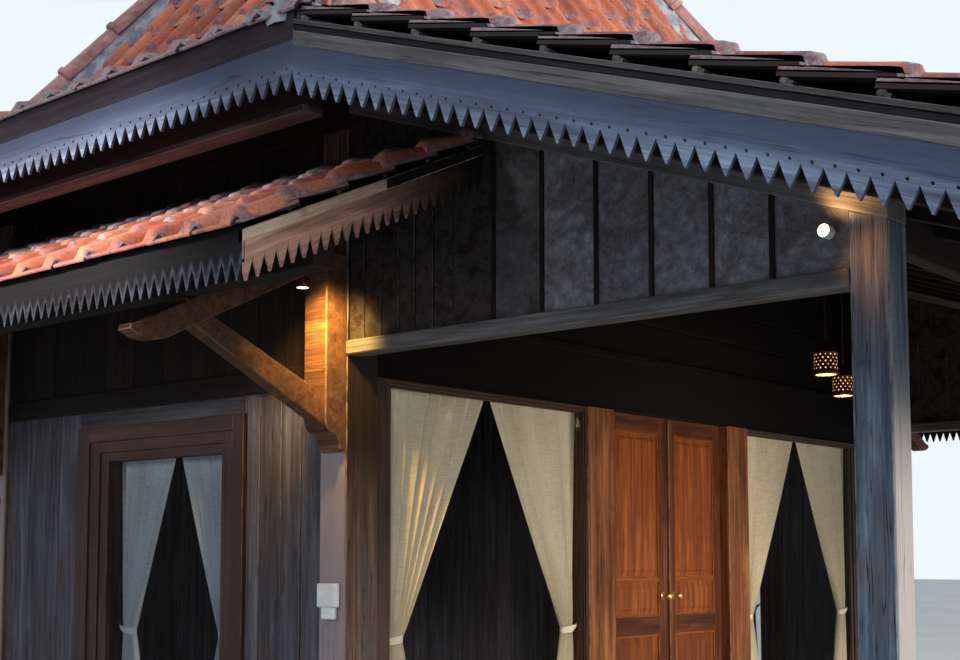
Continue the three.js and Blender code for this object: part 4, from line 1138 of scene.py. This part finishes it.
def build_posts():
    """Porch posts with their heads cut to the roof's slope and painted light, pale grey, on the lower front
    face, door posts and sill.
    """
    for i in range(1, 5):
        shape = Shape()
        low, high = box_of(f"porch_post_{i}")
        high[2] = roof_line(low[1]) - (RAKE_BEAM_DEPTH + SEAT if i in (1, 4) else 0.0)

        # Painted light: the front face below 1.8 m turns pale grey as if lit.
        def age(point):
            return 0.8 if point[1] < low[1] + 0.005 and point[2] < 1.8 else 0.0

        bar(shape, low, high, axis=2, chamfer=0.007, wander=0.0015, chance=0.5, age=age)
        points = shape.points[0]
        at_top = points[:, 2] > high[2] - 0.01
        points[at_top, 2] += FRONT_SLOPE * (points[at_top, 1] - low[1])
        piece(f"porch_timber_{i}", shape, POST_WOOD, f"porch_post_{i}")
    posts, sill = Shape(), Shape()
    for side in END_WALLS:
        bar(posts, *box_of(f"door_post_{side}"), axis=2, chamfer=0.006, wander=0.001, chance=0.6)
    piece("door_side_posts", posts, RED_WOOD, ["door_post_left", "door_post_right"])
    bar(sill, *box_of("door_threshold"), axis=0, chance=0.4)
    piece("door_sill", sill, RED_WOOD, "door_threshold")


def boards(shape, axis, near, far, start, end, bottom, top, widths, gap=0.005, slot=0):
    """Upright boards side by side in a wall that lies square to the axis."""
    place, i = start, 0
    while place < end - 0.02:
        width = min(widths[i % len(widths)] * random.uniform(0.93, 1.07), end - place)
        if end - place - width < 0.06:
            width = end - place
        front = near + random.uniform(0, 0.004)
        low = wall_place(axis, front, place + gap / 2, bottom)
        high = wall_place(axis, far, place + width - gap / 2, top)
        bar(shape, low, high, axis=2, chamfer=0.003, wander=0.001, slot=slot)
        place += width
        i += 1


def build_side_walls():
    """Boards round the window, a rail over them and wider boards above, with a thin lining inside."""
    wall = Shape()
    (near, start, _), (far, end, top) = box_of("side_wall_left")
    low, high = box_of("side_window_left")
    rail_bottom = high[2] + 0.09
    rail_top = rail_bottom + 0.11
    back = far - 0.01
    bar(wall, (near - 0.012, start, rail_bottom), (far, end, rail_top), axis=1, slot=2)
    boards(wall, 0, near, back, start, low[1], 0, rail_bottom, [0.15, 0.14, 0.17, 0.13])
    boards(wall, 0, near, back, high[1], end, 0, rail_bottom, [0.2, 0.17, 0.14])
    boards(wall, 0, near, back, low[1], high[1], 0, low[2], [0.24, 0.26, 0.22])
    bar(wall, (near, low[1], high[2]), (back, high[1], rail_bottom), axis=1)
    boards(wall, 0, near, back, start, end, rail_top, top, [0.26, 0.24, 0.27], slot=2)
    ring(wall, 0, far - 0.012, far, ((start, 0), (end, top)), ((low[1], low[2]), (high[1], high[2])),
        chamfer=0.001)
    both_sides("side_boards", wall, [BOARD_WOOD, BROWN_WOOD, ROOF_WOOD], "side_wall")


def build_walls():
    """Back wall, the timbers over the front windows, wall plate and porch beam."""
    low, high = box_of("back_wall")
    wall = Shape()
    outside, inside = BODY_DEPTH - high[1], BODY_DEPTH - low[1]
    boards(wall, 1, outside, inside - 0.01, low[0], high[0], 0, high[2], [0.24, 0.22, 0.26, 0.2])
    boards(wall, 1, inside - 0.012, inside, low[0], high[0], 0, high[2], [0.3, 0.26, 0.28], gap=0.001)
    piece("back_boards", wall.mirrored(1), BOARD_WOOD, "back_wall")

    head = Shape()
    (x0, y0, z0), (x1, y1, z1) = box_of("front_wall_head")
    beam_top = 2.45
    rows = 4
    step = (z1 - beam_top) / rows
    bar(head, (x0, y0, z0), (x1, y1, beam_top), axis=0, chamfer=0.008, wander=0.001)
    bar(head, (x0, y0 - 0.012, beam_top - 0.05), (x1, y0 + 0.02, beam_top - 0.01), axis=0)
    bar(head, (x0, 0.09, beam_top), (x1, 0.11, z1), axis=0)
    for z in beam_top + step * np.arange(rows):
        bar(head, (x0, 0.05, z + 0.003), (x1, 0.088, z + step - 0.003), axis=0, chamfer=0.005, wander=0.001)
    piece("front_wall_timbers", head, SHADED_WOOD, "front_wall_head")

    plate = Shape()
    (x0, y0, z0), (x1, y1, z1) = box_of("wall_plate")
    width = 0.15
    for y in (y0, y1 - width):
        bar(plate, (x0, y, z0), (x1, y + width, z1), axis=0, chamfer=0.006)
    for x in (x0, x1 - width):
        bar(plate, (x, y0 + width, z0), (x + width, y1 - width, z1), axis=1, chamfer=0.006)
    piece("wall_plate_timbers", plate, ROOF_WOOD, "wall_plate")

    beam = Shape()
    low, high = box_of("porch_beam")
    bar(beam, low, (high[0], high[1], roof_line(low[1])), axis=0, chamfer=0.006, wander=0.001)
    piece("porch_beam_timber", beam, ROOF_WOOD, "porch_beam")


def build_porch_panel():
    """Boards that close the porch's side over a rail, with cover strips and the beams along the rake."""
    panel = Shape()
    low, high = box_of("porch_side_panel_left")
    front, back = low[1], high[1]
    outer, inner = 0.012, 0.05
    rail_top = 2.236
    joints = [front, -2.203, -1.95, -1.681, -1.418, -1.143, -0.88, -0.64, -0.53, -0.42, -0.32, -0.21, -0.1,
        back]
    for a, b in zip(joints, joints[1:]):
        proud = random.uniform(0, 0.003)
        outline = [(roof_line(a) - 0.006, a + 0.003), (roof_line(b) - 0.006, b - 0.003),
                   (rail_top - 0.01, b - 0.003), (rail_top - 0.01, a + 0.003)]
        # Painted shade: the boards darken towards the house, for the shade under the roof and the awning.
        prism(panel, outline, [AXES[2], AXES[1], -AXES[0]], (inner, 0, 0), inner - outer - proud,
            chamfer=0.003,
              age=min(1.0, max(0.0, (a + 1.5) / 0.7)))
    for y in joints[1:7]:
        bar(panel, (0.003, y - 0.012, rail_top), (outer + 0.004, y + 0.008, roof_line(y) - 0.085), axis=2,
            chamfer=0.002, slot=2)
    bar(panel, low, (high[0], high[1], rail_top), axis=1, chamfer=0.006, wander=0.001, slot=1)
    post_low, post_high = box_of("porch_post_1")
    uphill = np.array([0, 1, FRONT_SLOPE])
    stretch = np.linalg.norm(uphill)
    for x, wide, end in ((0, 0.1, back), (0.1, post_high[0] - 0.1, post_high[1])):
        outline = [(0, -RAKE_BEAM_DEPTH), (wide, -RAKE_BEAM_DEPTH), (wide, -0.003), (0, -0.003)]
        prism(panel, outline, [AXES[0], AXES[2], uphill / stretch],
            (x, post_low[1], roof_line(post_low[1])),
              (end - post_low[1]) * stretch, chamfer=0.005, slot=1)
    both_sides("porch_panel_boards", panel, [PANEL_WOOD, RAIL_WOOD, ROOF_WOOD],
        "porch_side_panel")


def window_frame(shape, axis, near, far, outer, inner):
    """A frame of rebated members: a flat surround, two stepped reveals and a bead against the glass."""
    outer, inner = np.array(outer), np.array(inner)
    steps = [0.0, 0.42, 0.74, 1.0]
    for i, (t0, t1) in enumerate(zip(steps, steps[1:])):
        outside, inside = outer + (inner - outer) * t0, outer + (inner - outer) * t1
        ring(shape, axis, near + 0.012 * i, far, outside, inside, chance=0.35 + 0.15 * i)


def build_windows():
    """Front windows with a panelled part under the sill, side windows, and the glass in both."""
    shape = Shape()
    (x0, y0, z0), (x1, y1, z1) = box_of("front_window_left")
    glass_low, glass_high = box_of("front_glass_left")
    sill = glass_low[2]
    inner = ((glass_low[0], sill), (glass_high[0], glass_high[2]))
    window_frame(shape, 1, y0, y1, ((x0, sill - 0.05), (x1, z1)), inner)
    bar(shape, (x0, y0 - 0.012, sill - 0.085), (x1, y1, sill - 0.05), axis=0, chamfer=0.005)
    left, right, bottom, top = x0 + 0.09, x1 - 0.09, 0.07, sill - 0.14
    ring(shape, 1, y0, y1, ((x0, 0), (x1, sill - 0.085)), ((left, bottom), (right, top)))
    middle = (x0 + x1) / 2
    for a, b in ((left, middle - 0.03), (middle + 0.03, right)):
        bar(shape, (a, y0 + 0.012, bottom), (b, y1 - 0.008, top), axis=0, chamfer=0.012)
    bar(shape, (middle - 0.03, y0, bottom), (middle + 0.03, y1, top), axis=2)
    both_sides("front_window_frame", shape, FRAME_WOOD, "front_window")

    side = Shape()
    low, high = box_of("side_window_left")
    glass = [corner[1:] for corner in box_of("side_glass_left")]
    window_frame(side, 0, low[0], high[0], (low[1:], high[1:]), glass)
    both_sides("side_window_frame", side, FRAME_WOOD, "side_window")
    for node in ("front_glass_left", "front_glass_right", "side_glass_left", "side_glass_right"):
        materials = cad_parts[node].data.materials
        materials.clear()
        materials.append(GLASS)


def panel_field(shape, low, high):
    """A raised and fielded panel: a sunk edge rising to a flat field, inside a bead."""
    (x0, y0, z0), (x1, y1, z1) = low, high
    bead = 0.012
    ring(shape, 1, y0 - 0.006, y1, ((x0, z0), (x1, z1)), ((x0 + bead, z0 + bead), (x1 - bead, z1 - bead)))
    points = []
    for margin, sunk in ((bead, 0.004), (0.032, 0.004), (0.05, -0.004), (0.056, -0.004)):
        left, right, bottom, top = x0 + margin, x1 - margin, z0 + margin, z1 - margin
        corners = ((left, bottom), (right, bottom), (right, top), (left, top))
        points += [(x, y0 + sunk, z) for x, z in corners]
    shape.add(points, grid(4, 4, closed=True) + [(12, 13, 14, 15)], [(z, x, 0) for x, y, z in points])
    bar(shape, (x0, y0 + 0.006, z0), (x1, y1, z1), axis=2, chamfer=0.001)


def build_door():
    """Two leaves of stiles, rails and fielded panels, with a cover strip, hinge pins and turned knobs."""
    (left, near, _), (right, far, head) = box_of("door_leaf_left")
    bottom, top = 0.0453, head - 0.02
    stile = 0.082
    pin, pin_radius = 0.019, 0.0095
    leaf = Shape()
    for a, b in ((left + 0.006, left + stile), (right - stile, right)):
        bar(leaf, (a, near, bottom), (b, far, top), axis=2, chamfer=0.003, slot=1)
    inner_left, inner_right = left + stile, right - stile
    rails = [(bottom, bottom + 0.16), (0.765, 0.876), (top - 0.10, top)]
    for a, b in rails:
        bar(leaf, (inner_left, near + 0.001, a), (inner_right, far - 0.001, b), axis=0, chamfer=0.003,
            slot=1)
    back = far - 0.008
    thin_low, thin_high = 1.10 - 0.006, 1.10 + 0.006

    def panel(low, high):
        panel_field(leaf, (inner_left, near + 0.010, low), (inner_right, back, high))

    panel(rails[0][1], rails[1][0])
    panel(rails[1][1], thin_low)
    bar(leaf, (inner_left, near + 0.005, thin_low), (inner_right, back, thin_high), axis=0, chamfer=0.003)
    panel(thin_high, rails[2][0])
    lathe(leaf, (left + pin, (near + far) / 2, 0), [
        (0.0, 0.022), (pin_radius, 0.022), (pin_radius, bottom), (pin_radius, top),
        (pin_radius, top + 0.018), (0.0, top + 0.018)], 12, slot=1)
    other = leaf.mirrored(0)
    bar(other, (CENTRE_X + 0.003, near - 0.012, bottom + 0.01),
        (CENTRE_X + 0.036, near + 0.002, top - 0.01), axis=2,
        chamfer=0.005, slot=2)
    profile = [
        (0.0, 0.0), (0.024, 0.0), (0.025, 0.003), (0.02, 0.005), (0.018, 0.007), (0.011, 0.009),
        (0.008, 0.014),
        (0.008, 0.022), (0.013, 0.026), (0.019, 0.032), (0.0215, 0.04), (0.0195, 0.048), (0.014, 0.053),
        (0.012, 0.0525), (0.006, 0.056), (0.0, 0.0565)]
    finishes = [DOOR_WOOD, DOOR_DARK, RED_WOOD]
    for side, shape in (("left", leaf), ("right", other)):
        piece(f"panelled_leaf_{side}", shape, finishes, f"door_leaf_{side}", f"door_{side}")
    for side, sign in (("left", -1), ("right", 1)):
        knob = Shape()
        lathe(knob, (CENTRE_X + sign * 0.06, near - 0.0005, 0.995), profile, 20, axis=-AXES[1])
        piece(f"turned_knob_{side}", knob, BRASS, f"door_knob_{side}", f"door_{side}",
            smooth=35)


FOLDS = 7
BUNDLE = 0.1
TIE_HEIGHT = 0.83


def curtain(name, plan, outer, inner, tie, low, high, finish, seed):
    """One tied back curtain, and its cloth's flat width. Plan turns (across, depth, height) into a place."""
    rng = np.random.default_rng(seed)
    columns, rows = FOLDS * 12 + 1, 60
    phases = rng.uniform(-0.35, 0.35, FOLDS + 1)
    spread = np.cumsum(np.concatenate([[0], rng.uniform(0.7, 1.3, FOLDS)]))
    spread /= spread[-1]
    s = np.linspace(0, 1, columns)
    knots = np.linspace(0, 1, FOLDS + 1)
    turns = FOLDS * 2 * math.pi
    direction = 1 if inner > outer else -1
    width = abs(inner - outer)
    points, grain = [], []
    for row in range(rows + 1):
        t = row / rows
        z = high + (low - high) * t
        if z > TIE_HEIGHT:
            down = (high - z) / (high - TIE_HEIGHT)
            start = outer + (tie - direction * BUNDLE / 2 - outer) * down ** 1.25
            reach = width + (BUNDLE - width) * down ** 1.05
            depth = 0.0155 + 0.0035 * down
        else:
            open_out = min(1.0, (TIE_HEIGHT - z) / (TIE_HEIGHT - low) * 2.2)
            start = tie - direction * BUNDLE / 2 - direction * 0.02 * open_out
            reach = BUNDLE + 0.10 * open_out
            depth = 0.019 - 0.003 * open_out
        squeeze = math.exp(-((z - TIE_HEIGHT) / 0.05) ** 2)
        wave = s * turns + np.interp(s, knots, phases) * (1 + t)
        across = start + direction * reach * (np.interp(s, knots, spread) + 0.35 * np.sin(wave * 2) / turns)
        y = depth * np.sin(wave) * (1 - 0.25 * squeeze) + 0.002 * np.sin(wave * 0.37 + 9 * t)
        points += [plan(across[i], y[i], z) for i in range(columns)]
        grain += [(s[i] * 1.05, high - z, 0) for i in range(columns)]
    faces = grid(rows + 1, columns, turned=True)
    shape = Shape()
    shape.add(points, faces, grain, chance=0.5)
    a, b, c, d = (np.array(points)[list(corner)] for corner in zip(*faces))
    area = sum(np.linalg.norm(np.cross(p - a, q - a), axis=1).sum() / 2 for p, q in ((b, c), (c, d)))
    return piece(name, shape, finish, smooth=80), area / (high - low)


def tie_band(shape, plan, centre, hook, height):
    """The band round the gathered curtain, and its end that runs to the hook on the frame."""
    sides, rings = 20, 4
    points, grain = [], []
    for i in range(rings):
        z = height - 0.018 + 0.036 * i / (rings - 1)
        swell = 1.0 + 0.06 * math.sin(math.pi * i / (rings - 1))
        for j in range(sides):
            angle = 2 * math.pi * j / sides
            across, depth = 0.056 * math.cos(angle) * swell, 0.0225 * math.sin(angle) * swell
            points.append(plan(centre + across, depth, z + 0.006 * math.cos(angle)))
            grain.append((angle * 0.05, z, 0))
    shape.add(points, grid(rings, sides, closed=True), grain, chance=0.5)
    points, grain, faces = [], [], []
    steps = 6
    for i in range(steps + 1):
        t = i / steps
        x = centre + (hook - centre) * (0.45 + 0.55 * t)
        for edge in (-1, 1):
            for side in (-0.001, 0.001):
                depth = -0.004 + side - 0.012 * math.sin(t * 3)
                points.append(plan(x, depth, height + edge * (0.016 - 0.009 * t) + 0.03 * t))
                grain.append((t * 0.1, edge * 0.016, 0))
    for a in range(0, 4 * steps, 4):
        b = a + 4
        faces += [(a, a + 2, b + 2, b), (a + 1, b + 1, b + 3, a + 3)]
        faces += [(a, b, b + 1, a + 1), (a + 2, a + 3, b + 3, b + 2)]
    shape.add(points, faces, grain, chance=0.5)


def build_curtains():
    """Two linen curtains on a brass track behind each of the four windows."""
    windows = [("front", "left"), ("side", "left"), ("front", "right"), ("side", "right")]
    for number, (wall, side) in enumerate(windows):
        name = f"{wall}_{side}"
        node = f"{wall}_curtains_{side}"
        axis, finish = (1, LINEN) if wall == "front" else (0, SKYLIT_LINEN)
        first, last = (corner[1 - axis] for corner in box_of(f"{wall}_glass_{side}"))
        low, high = box_of(node)
        near, sign = (high[0], -1) if name == "side_right" else (low[axis], 1)
        top = high[2] - 0.002
        rail_bottom = top - 0.024
        ends = sorted((near + sign * 0.003, near + sign * 0.025))
        track = Shape()
        bar(track, wall_place(axis, ends[0], low[1 - axis] + 0.002, rail_bottom),
            wall_place(axis, ends[1], high[1 - axis] - 0.002, top), chamfer=0.003)

        def plan(across, depth, height):
            return wall_place(axis, near + sign * (0.024 + depth), across, height)

        middle = (first + last) / 2
        for key, edge, inwards in (("a", first, 1), ("b", last, -1)):
            band = Shape()
            tie = edge + inwards * 0.075
            tie_band(band, plan, tie, edge - inwards * 0.01, TIE_HEIGHT)
            tie_piece = piece(f"{name}_tie_{key}", band, finish, smooth=50)
            bottom, hung = low[2] + 0.005, rail_bottom + 0.002
            made, width = curtain(
                f"{name}_curtain_{key}", plan, edge - inwards * 0.022, middle - inwards * 0.02, tie, bottom,
                hung, finish, 100 + number * 2 + (key == "b"))
            hung - bottom
        piece(f"{name}_curtain_track", track, BRASS, node)


def middle_of(node):
    low, high = box_of(node)
    return (low + high) / 2


def build_lamps():
    """Two pierced lanterns on stems, the downlight under the bracket and the spot on the porch panel."""
    for i in (1, 2):
        low, high = box_of(f"pendant_lamp_{i}")
        centre = middle_of(f"pendant_lamp_{i}")
        centre[2] = low[2]
        tall = high[2] - low[2]
        lantern = Shape()
        lathe(lantern, centre, [
            (0.058, 0.0), (0.062, 0.004), (0.0635, 0.014), (0.062, 0.02), (0.0605, 0.03), (0.06, 0.112),
            (0.062, 0.118),
            (0.05, 0.138), (0.044, 0.152), (0.024, 0.166), (0.012, 0.176), (0.006, 0.183), (0.0045, tall),
            (0.0, tall)], 28)
        lathe(lantern, centre, [(0.058, 0.0), (0.0565, 0.02), (0.0565, 0.11), (0.0, 0.12)], 28)
        bulb = [(0.0, 0.0), (0.024, 0.006), (0.03, 0.025), (0.02, 0.05), (0.0, 0.06)]
        lathe(lantern, centre + AXES[2] * 0.035, bulb, 16, slot=1)
        lathe(lantern, centre + AXES[2] * 0.003, [(0.054, 0.0), (0.0, 0.0005)], 24, slot=2)
        rows, holes = 5, 14
        for row in range(rows):
            for k in range(holes):
                angle = 2 * math.pi * (k + 0.5 * (row % 2)) / holes
                out = np.array([math.cos(angle), math.sin(angle), 0])
                place = centre + AXES[2] * (0.034 + row * 0.018) + out * 0.0609
                lathe(lantern, place, [(0.0042 if (row + k) % 3 else 0.003, 0.0), (0.0, 0.0004)], 8,
                    axis=out, slot=2)
        finishes = [LANTERN, WARM_GLOW, SOFT_GLOW]
        piece(f"lantern_{i}", lantern, finishes, f"pendant_lamp_{i}", smooth=40)
    low, high = box_of("bracket_lamp")
    centre = middle_of("bracket_lamp")
    centre[2] = low[2]
    tall = high[2] - low[2]
    lamp = Shape()
    lathe(lamp, centre, [(0.027, 0.002), (0.028, 0.0), (0.031, 0.001), (0.0318, 0.006), (0.0318, tall),
        (0.0, tall)], 24)
    lathe(lamp, centre, [(0.0275, 0.0015), (0.0, 0.0016)], 20, slot=1)
    piece("bracket_downlight", lamp, [LANTERN, WARM_GLOW], "bracket_lamp", smooth=40)
    centre = middle_of("porch_lamp")
    centre[0] = box_of("porch_lamp")[1][0]
    spot = Shape()
    lathe(spot, centre, [(0.0, 0.0), (0.0245, 0.0), (0.0248, 0.004), (0.0235, 0.03), (0.0248, 0.044),
        (0.0225, 0.0448),
                         (0.022, 0.04)], 24, axis=-AXES[0])
    lathe(spot, centre, [(0.0225, 0.041), (0.014, 0.0445), (0.0, 0.0448)], 20, axis=-AXES[0], slot=1)
    piece("porch_spot", spot, [PLASTIC, WARM_GLOW], "porch_lamp", smooth=40)


def build_socket():
    """A white box with a raised cover, a neck below and two screws."""
    socket = Shape()
    low, high = box_of("socket_box")
    bar(socket, (-0.040, 0.030, 1.000), (high[0], 0.150, high[2]), chamfer=0.006, axis=2)
    bar(socket, (-0.0395, 0.042, 1.012), (-0.02, 0.138, 1.098), chamfer=0.002, axis=2)
    bar(socket, (-0.032, 0.048, low[2]), (high[0], 0.128, 1.004), chamfer=0.005, axis=2)
    for y in (0.062, 0.114):
        lathe(socket, (-0.0402, y, 1.086), [(0.004, 0.0), (0.0035, 0.0006), (0.0, 0.0006)], 10,
            axis=-AXES[0])
    piece("outdoor_socket", socket, PLASTIC, "socket_box")


def build_plinth():
    """Two courses of stone round a core, under floor slabs."""
    low, high = box_of("plinth_floor")
    size = high - low
    stone = Shape()
    thick = 0.045
    tall = (size[2] - thick) / 2
    deep = 0.05
    joint = 0.003
    core = 0.012
    bar(stone, (low[0] + core, low[1] + core, low[2]), (high[0] - core, high[1] - core, high[2] - 0.03),
        chamfer=0.001, slot=1)
    for course in range(2):
        z = low[2] + course * tall
        for axis in (0, 1):
            count = round(size[axis] / 0.42)
            pitch = size[axis] / count
            for i in range(count + course):
                a = max(0.0, (i - 0.5 * course) * pitch)
                b = min(size[axis], (i + 1 - 0.5 * course) * pitch)
                if b - a < 0.03:
                    continue
                first, last = low[1 - axis], high[1 - axis]
                for near, far in ((first, first + deep), (last - deep, last)):
                    start = wall_place(1 - axis, near, low[axis] + a + joint, z + joint)
                    stop = wall_place(1 - axis, far, low[axis] + b - joint, z + tall - joint)
                    bar(stone, start, stop, axis=axis, chamfer=0.006)
    columns, rows = round(size[0] / 0.6), round(size[1] / 0.6)
    pitch = size[:2] / (columns, rows)
    for i in range(columns):
        for j in range(rows):
            a, b = low[:2] + pitch * (i, j), low[:2] + pitch * (i + 1, j + 1)
            bar(stone, (*(a + 0.002), high[2] - thick), (*(b - 0.002), high[2]), axis=0, chamfer=0.003,
                slot=2)
    piece("stone_plinth", stone, [STONE, MORTAR, FLOOR_STONE], "plinth_floor")


def build_rafters():
    """Rafters under the roof boarding, from the walls to the eaves."""
    shape = Shape()
    wide, deep = 0.05, 0.045
    outline = [(0, 0), (wide, 0), (wide, deep), (0, deep)]

    def rafter(plane, across, start, end, slab=SLAB):
        below = slab * plane.normal[2] + deep
        origin = plane.start(start) + plane.across * (across - wide / 2) - plane.normal * below
        length = (end - start) / plane.run
        prism(shape, outline, [plane.across, plane.normal, plane.up], origin, length, chamfer=0.003)

    for x in np.linspace(0.08 - EAVE, BODY_WIDTH + EAVE - 0.08, 17):
        outside = -min(0.0, x, BODY_WIDTH - x) * HIP_RUN / EAVE
        clear = 0.01 if 0.15 < x < BODY_WIDTH - 0.15 else 0.02 + abs(min(x,
            BODY_WIDTH - x)) * HIP_RUN / EAVE
        rafter(lower["front"], x, 0.01 - FRONT_EAVE, -clear)
        rafter(lower["back"], -x, 0.01 - BACK_EAVE, -BODY_DEPTH - max(0.02, outside))
    for y in np.linspace(0.12 - HIP_RUN, BODY_DEPTH + HIP_RUN - 0.12, 12):
        clear = max(0.02, max(-y, y - BODY_DEPTH) * EAVE / HIP_RUN)
        rafter(lower["left"], -y, 0.01 - EAVE, -clear)
        rafter(lower["right"], y, 0.01 - BODY_WIDTH - EAVE, -BODY_WIDTH - clear)
    for y in np.linspace(AWNING_FRONT + 0.08, AWNING_BACK - 0.08, 9):
        rafter(awnings["left"], -y, 0.01 - EAVE, -0.02, AWNING_BOARDING)
        rafter(awnings["right"], y, 0.01 - BODY_WIDTH - EAVE, -BODY_WIDTH - 0.02, AWNING_BOARDING)
    piece("rafters", shape, ROOF_WOOD)


def place_object(name, data, place, towards=None):
    """An object in the scene that looks along the direction towards."""
    made = bpy.data.objects.new(name, data)
    made.location = place
    if towards is not None:
        made.rotation_mode = "QUATERNION"
        made.rotation_quaternion = Vector(towards).to_track_quat("-Z", "Y")
    bpy.context.scene.collection.objects.link(made)
    return made


def light(name, kind, place, power, colour, towards=None, **settings):
    data = bpy.data.lights.new(name, kind)
    data.energy = power
    data.color = colour
    for key, value in settings.items():
        setattr(data, key, value)
    return place_object(name, data, place, towards)


def build_stage():
    """Pale floor and soft studio light. These lamps' places are in the scene's own frame."""
    mesh = bpy.data.meshes.new("studio_floor")
    far = 90
    mesh.from_pydata([(-far, -far, 0), (far, -far, 0), (far, far, 0), (-far, far, 0)], [], [(0, 1, 2, 3)])
    f = Finish("studio floor")
    cloud = f.noise(f.node("TexCoord", output="Object"), 0.4, 3.0, 0.5)
    shade = f.ramp(cloud, (0.3, (0.36, 0.37, 0.36, 1)), (0.7, (0.40, 0.41, 0.40, 1)))
    mesh.materials.append(f.finish(shade, 0.9))
    place_object("studio_floor", mesh, (0, 0, 0))
    world = bpy.data.worlds.new("studio")
    bpy.context.scene.world = world
    world.use_nodes = True
    sky = world.node_tree.nodes["Background"]
    sky.inputs["Color"].default_value = (0.86, 0.94, 1.0, 1)
    sky.inputs["Strength"].default_value = 1.0
    for name, place, aim, size, power, colour, spread in (
            ("front light", (6.0, -17.0, 6.2), (0, 0, 1.5), (9, 4.5), 4200, (1.0, 0.92, 0.82), 180),
            ("awning light", (-6.2, 0.88, 3.05), (-3.2, 0.7, 2.88), (2.7, 0.3), 24, (1.0, 0.9, 0.84), 28),
            ("corner light", (-8.0, -5.0, 3.6), (-4.0, -2.6, 3.2), (2, 1), 8, (1.0, 0.95, 0.9), 70),
            ("porch fill", (-0.65, -2.8, 1.5), (-0.5, 0, 1.5), (1.4, 0.6), 10, (1.0, 0.9, 0.76), 100),
            ("door fill", (0.7, -2.6, 1.6), (0.45, 0, 1.5), (1.0, 0.6), 5, (1.0, 0.86, 0.7), 70)):
        lamp = light(name, "AREA", place, power, colour, Vector(aim) - Vector(place), shape="RECTANGLE",
                     size=size[0], size_y=size[1], spread=math.radians(spread))
        lamp.visible_camera = False


def build_lamp_light():
    """The light of the house's own lamps, with places in the house's frame."""
    bracket = box_of("bracket_lamp")[0]
    low, high = box_of("porch_lamp")
    spot_y = (low[1] + high[1]) / 2
    warm = (1.0, 0.57, 0.13)
    for name, place, power, colour, radius, angle, towards in (
            ("downlight beam", bracket - (0.1, 0.06, 0.03), 36, warm, 0.05, 100, (0.35, 0.05, -1)),
            ("leg light", (-0.38, -0.17, bracket[2] + 0.02), 90, warm, 0.05, 72, (0.27, 0.17, -0.25)),
            ("strut light", (-0.42, -0.3, 2.3), 7, warm, 0.05, 90, (0.1, 0.4, -0.2)),
            ("porch spot beam", (low[0] - 0.05, spot_y, high[2] - 0.01), 9, (1.0, 0.52, 0.18), 0.03, 115,
             (0.12, -0.5, 0.75)),
            ("post light", (-0.25, low[1] + 0.1, high[2] + 0.05), 15, (1.0, 0.36, 0.12), 0.05, 56,
             (0.25, -0.42, -0.3))):
        light(name, "SPOT", ORIGIN + place, power, colour, towards, shadow_soft_size=radius,
              spot_size=math.radians(angle), spot_blend=0.8)
    for i in (1, 2):
        place = middle_of(f"pendant_lamp_{i}")
        place[2] = box_of(f"pendant_lamp_{i}")[0][2] - 0.04
        light(f"pendant light {i}", "POINT", ORIGIN + place, 3, (1.0, 0.6, 0.3), shadow_soft_size=0.03)


# The camera, recovered from the photograph's two vanishing directions: focal length in pixels of
# the picture's width, place in the house's frame, angle from the x axis and angle over the horizon
PICTURE_WIDTH, FOCAL_LENGTH = 960, 1384.14
CAMERA_PLACE = (-4.4614, -4.6169, 1.2271)
YAW, PITCH = 0.7057, 0.0813


def build_camera():
    data = bpy.data.cameras.new("camera")
    data.sensor_width = 36
    data.lens = FOCAL_LENGTH * data.sensor_width / PICTURE_WIDTH
    data.shift_y = 0.12
    look = (math.cos(YAW) * math.cos(PITCH), math.sin(YAW) * math.cos(PITCH), math.sin(PITCH))
    bpy.context.scene.camera = place_object("camera", data, ORIGIN + CAMERA_PLACE, look)
    bpy.context.scene.view_settings.view_transform = "Standard"


build_stage()
build_lamp_light()
build_camera()
build_roofs()
build_caps()
build_fascias()
build_awning_boards()
build_brackets()
build_posts()
build_side_walls()
build_walls()
build_porch_panel()
build_windows()
build_door()
build_curtains()
build_lamps()
build_socket()
build_plinth()
build_rafters()
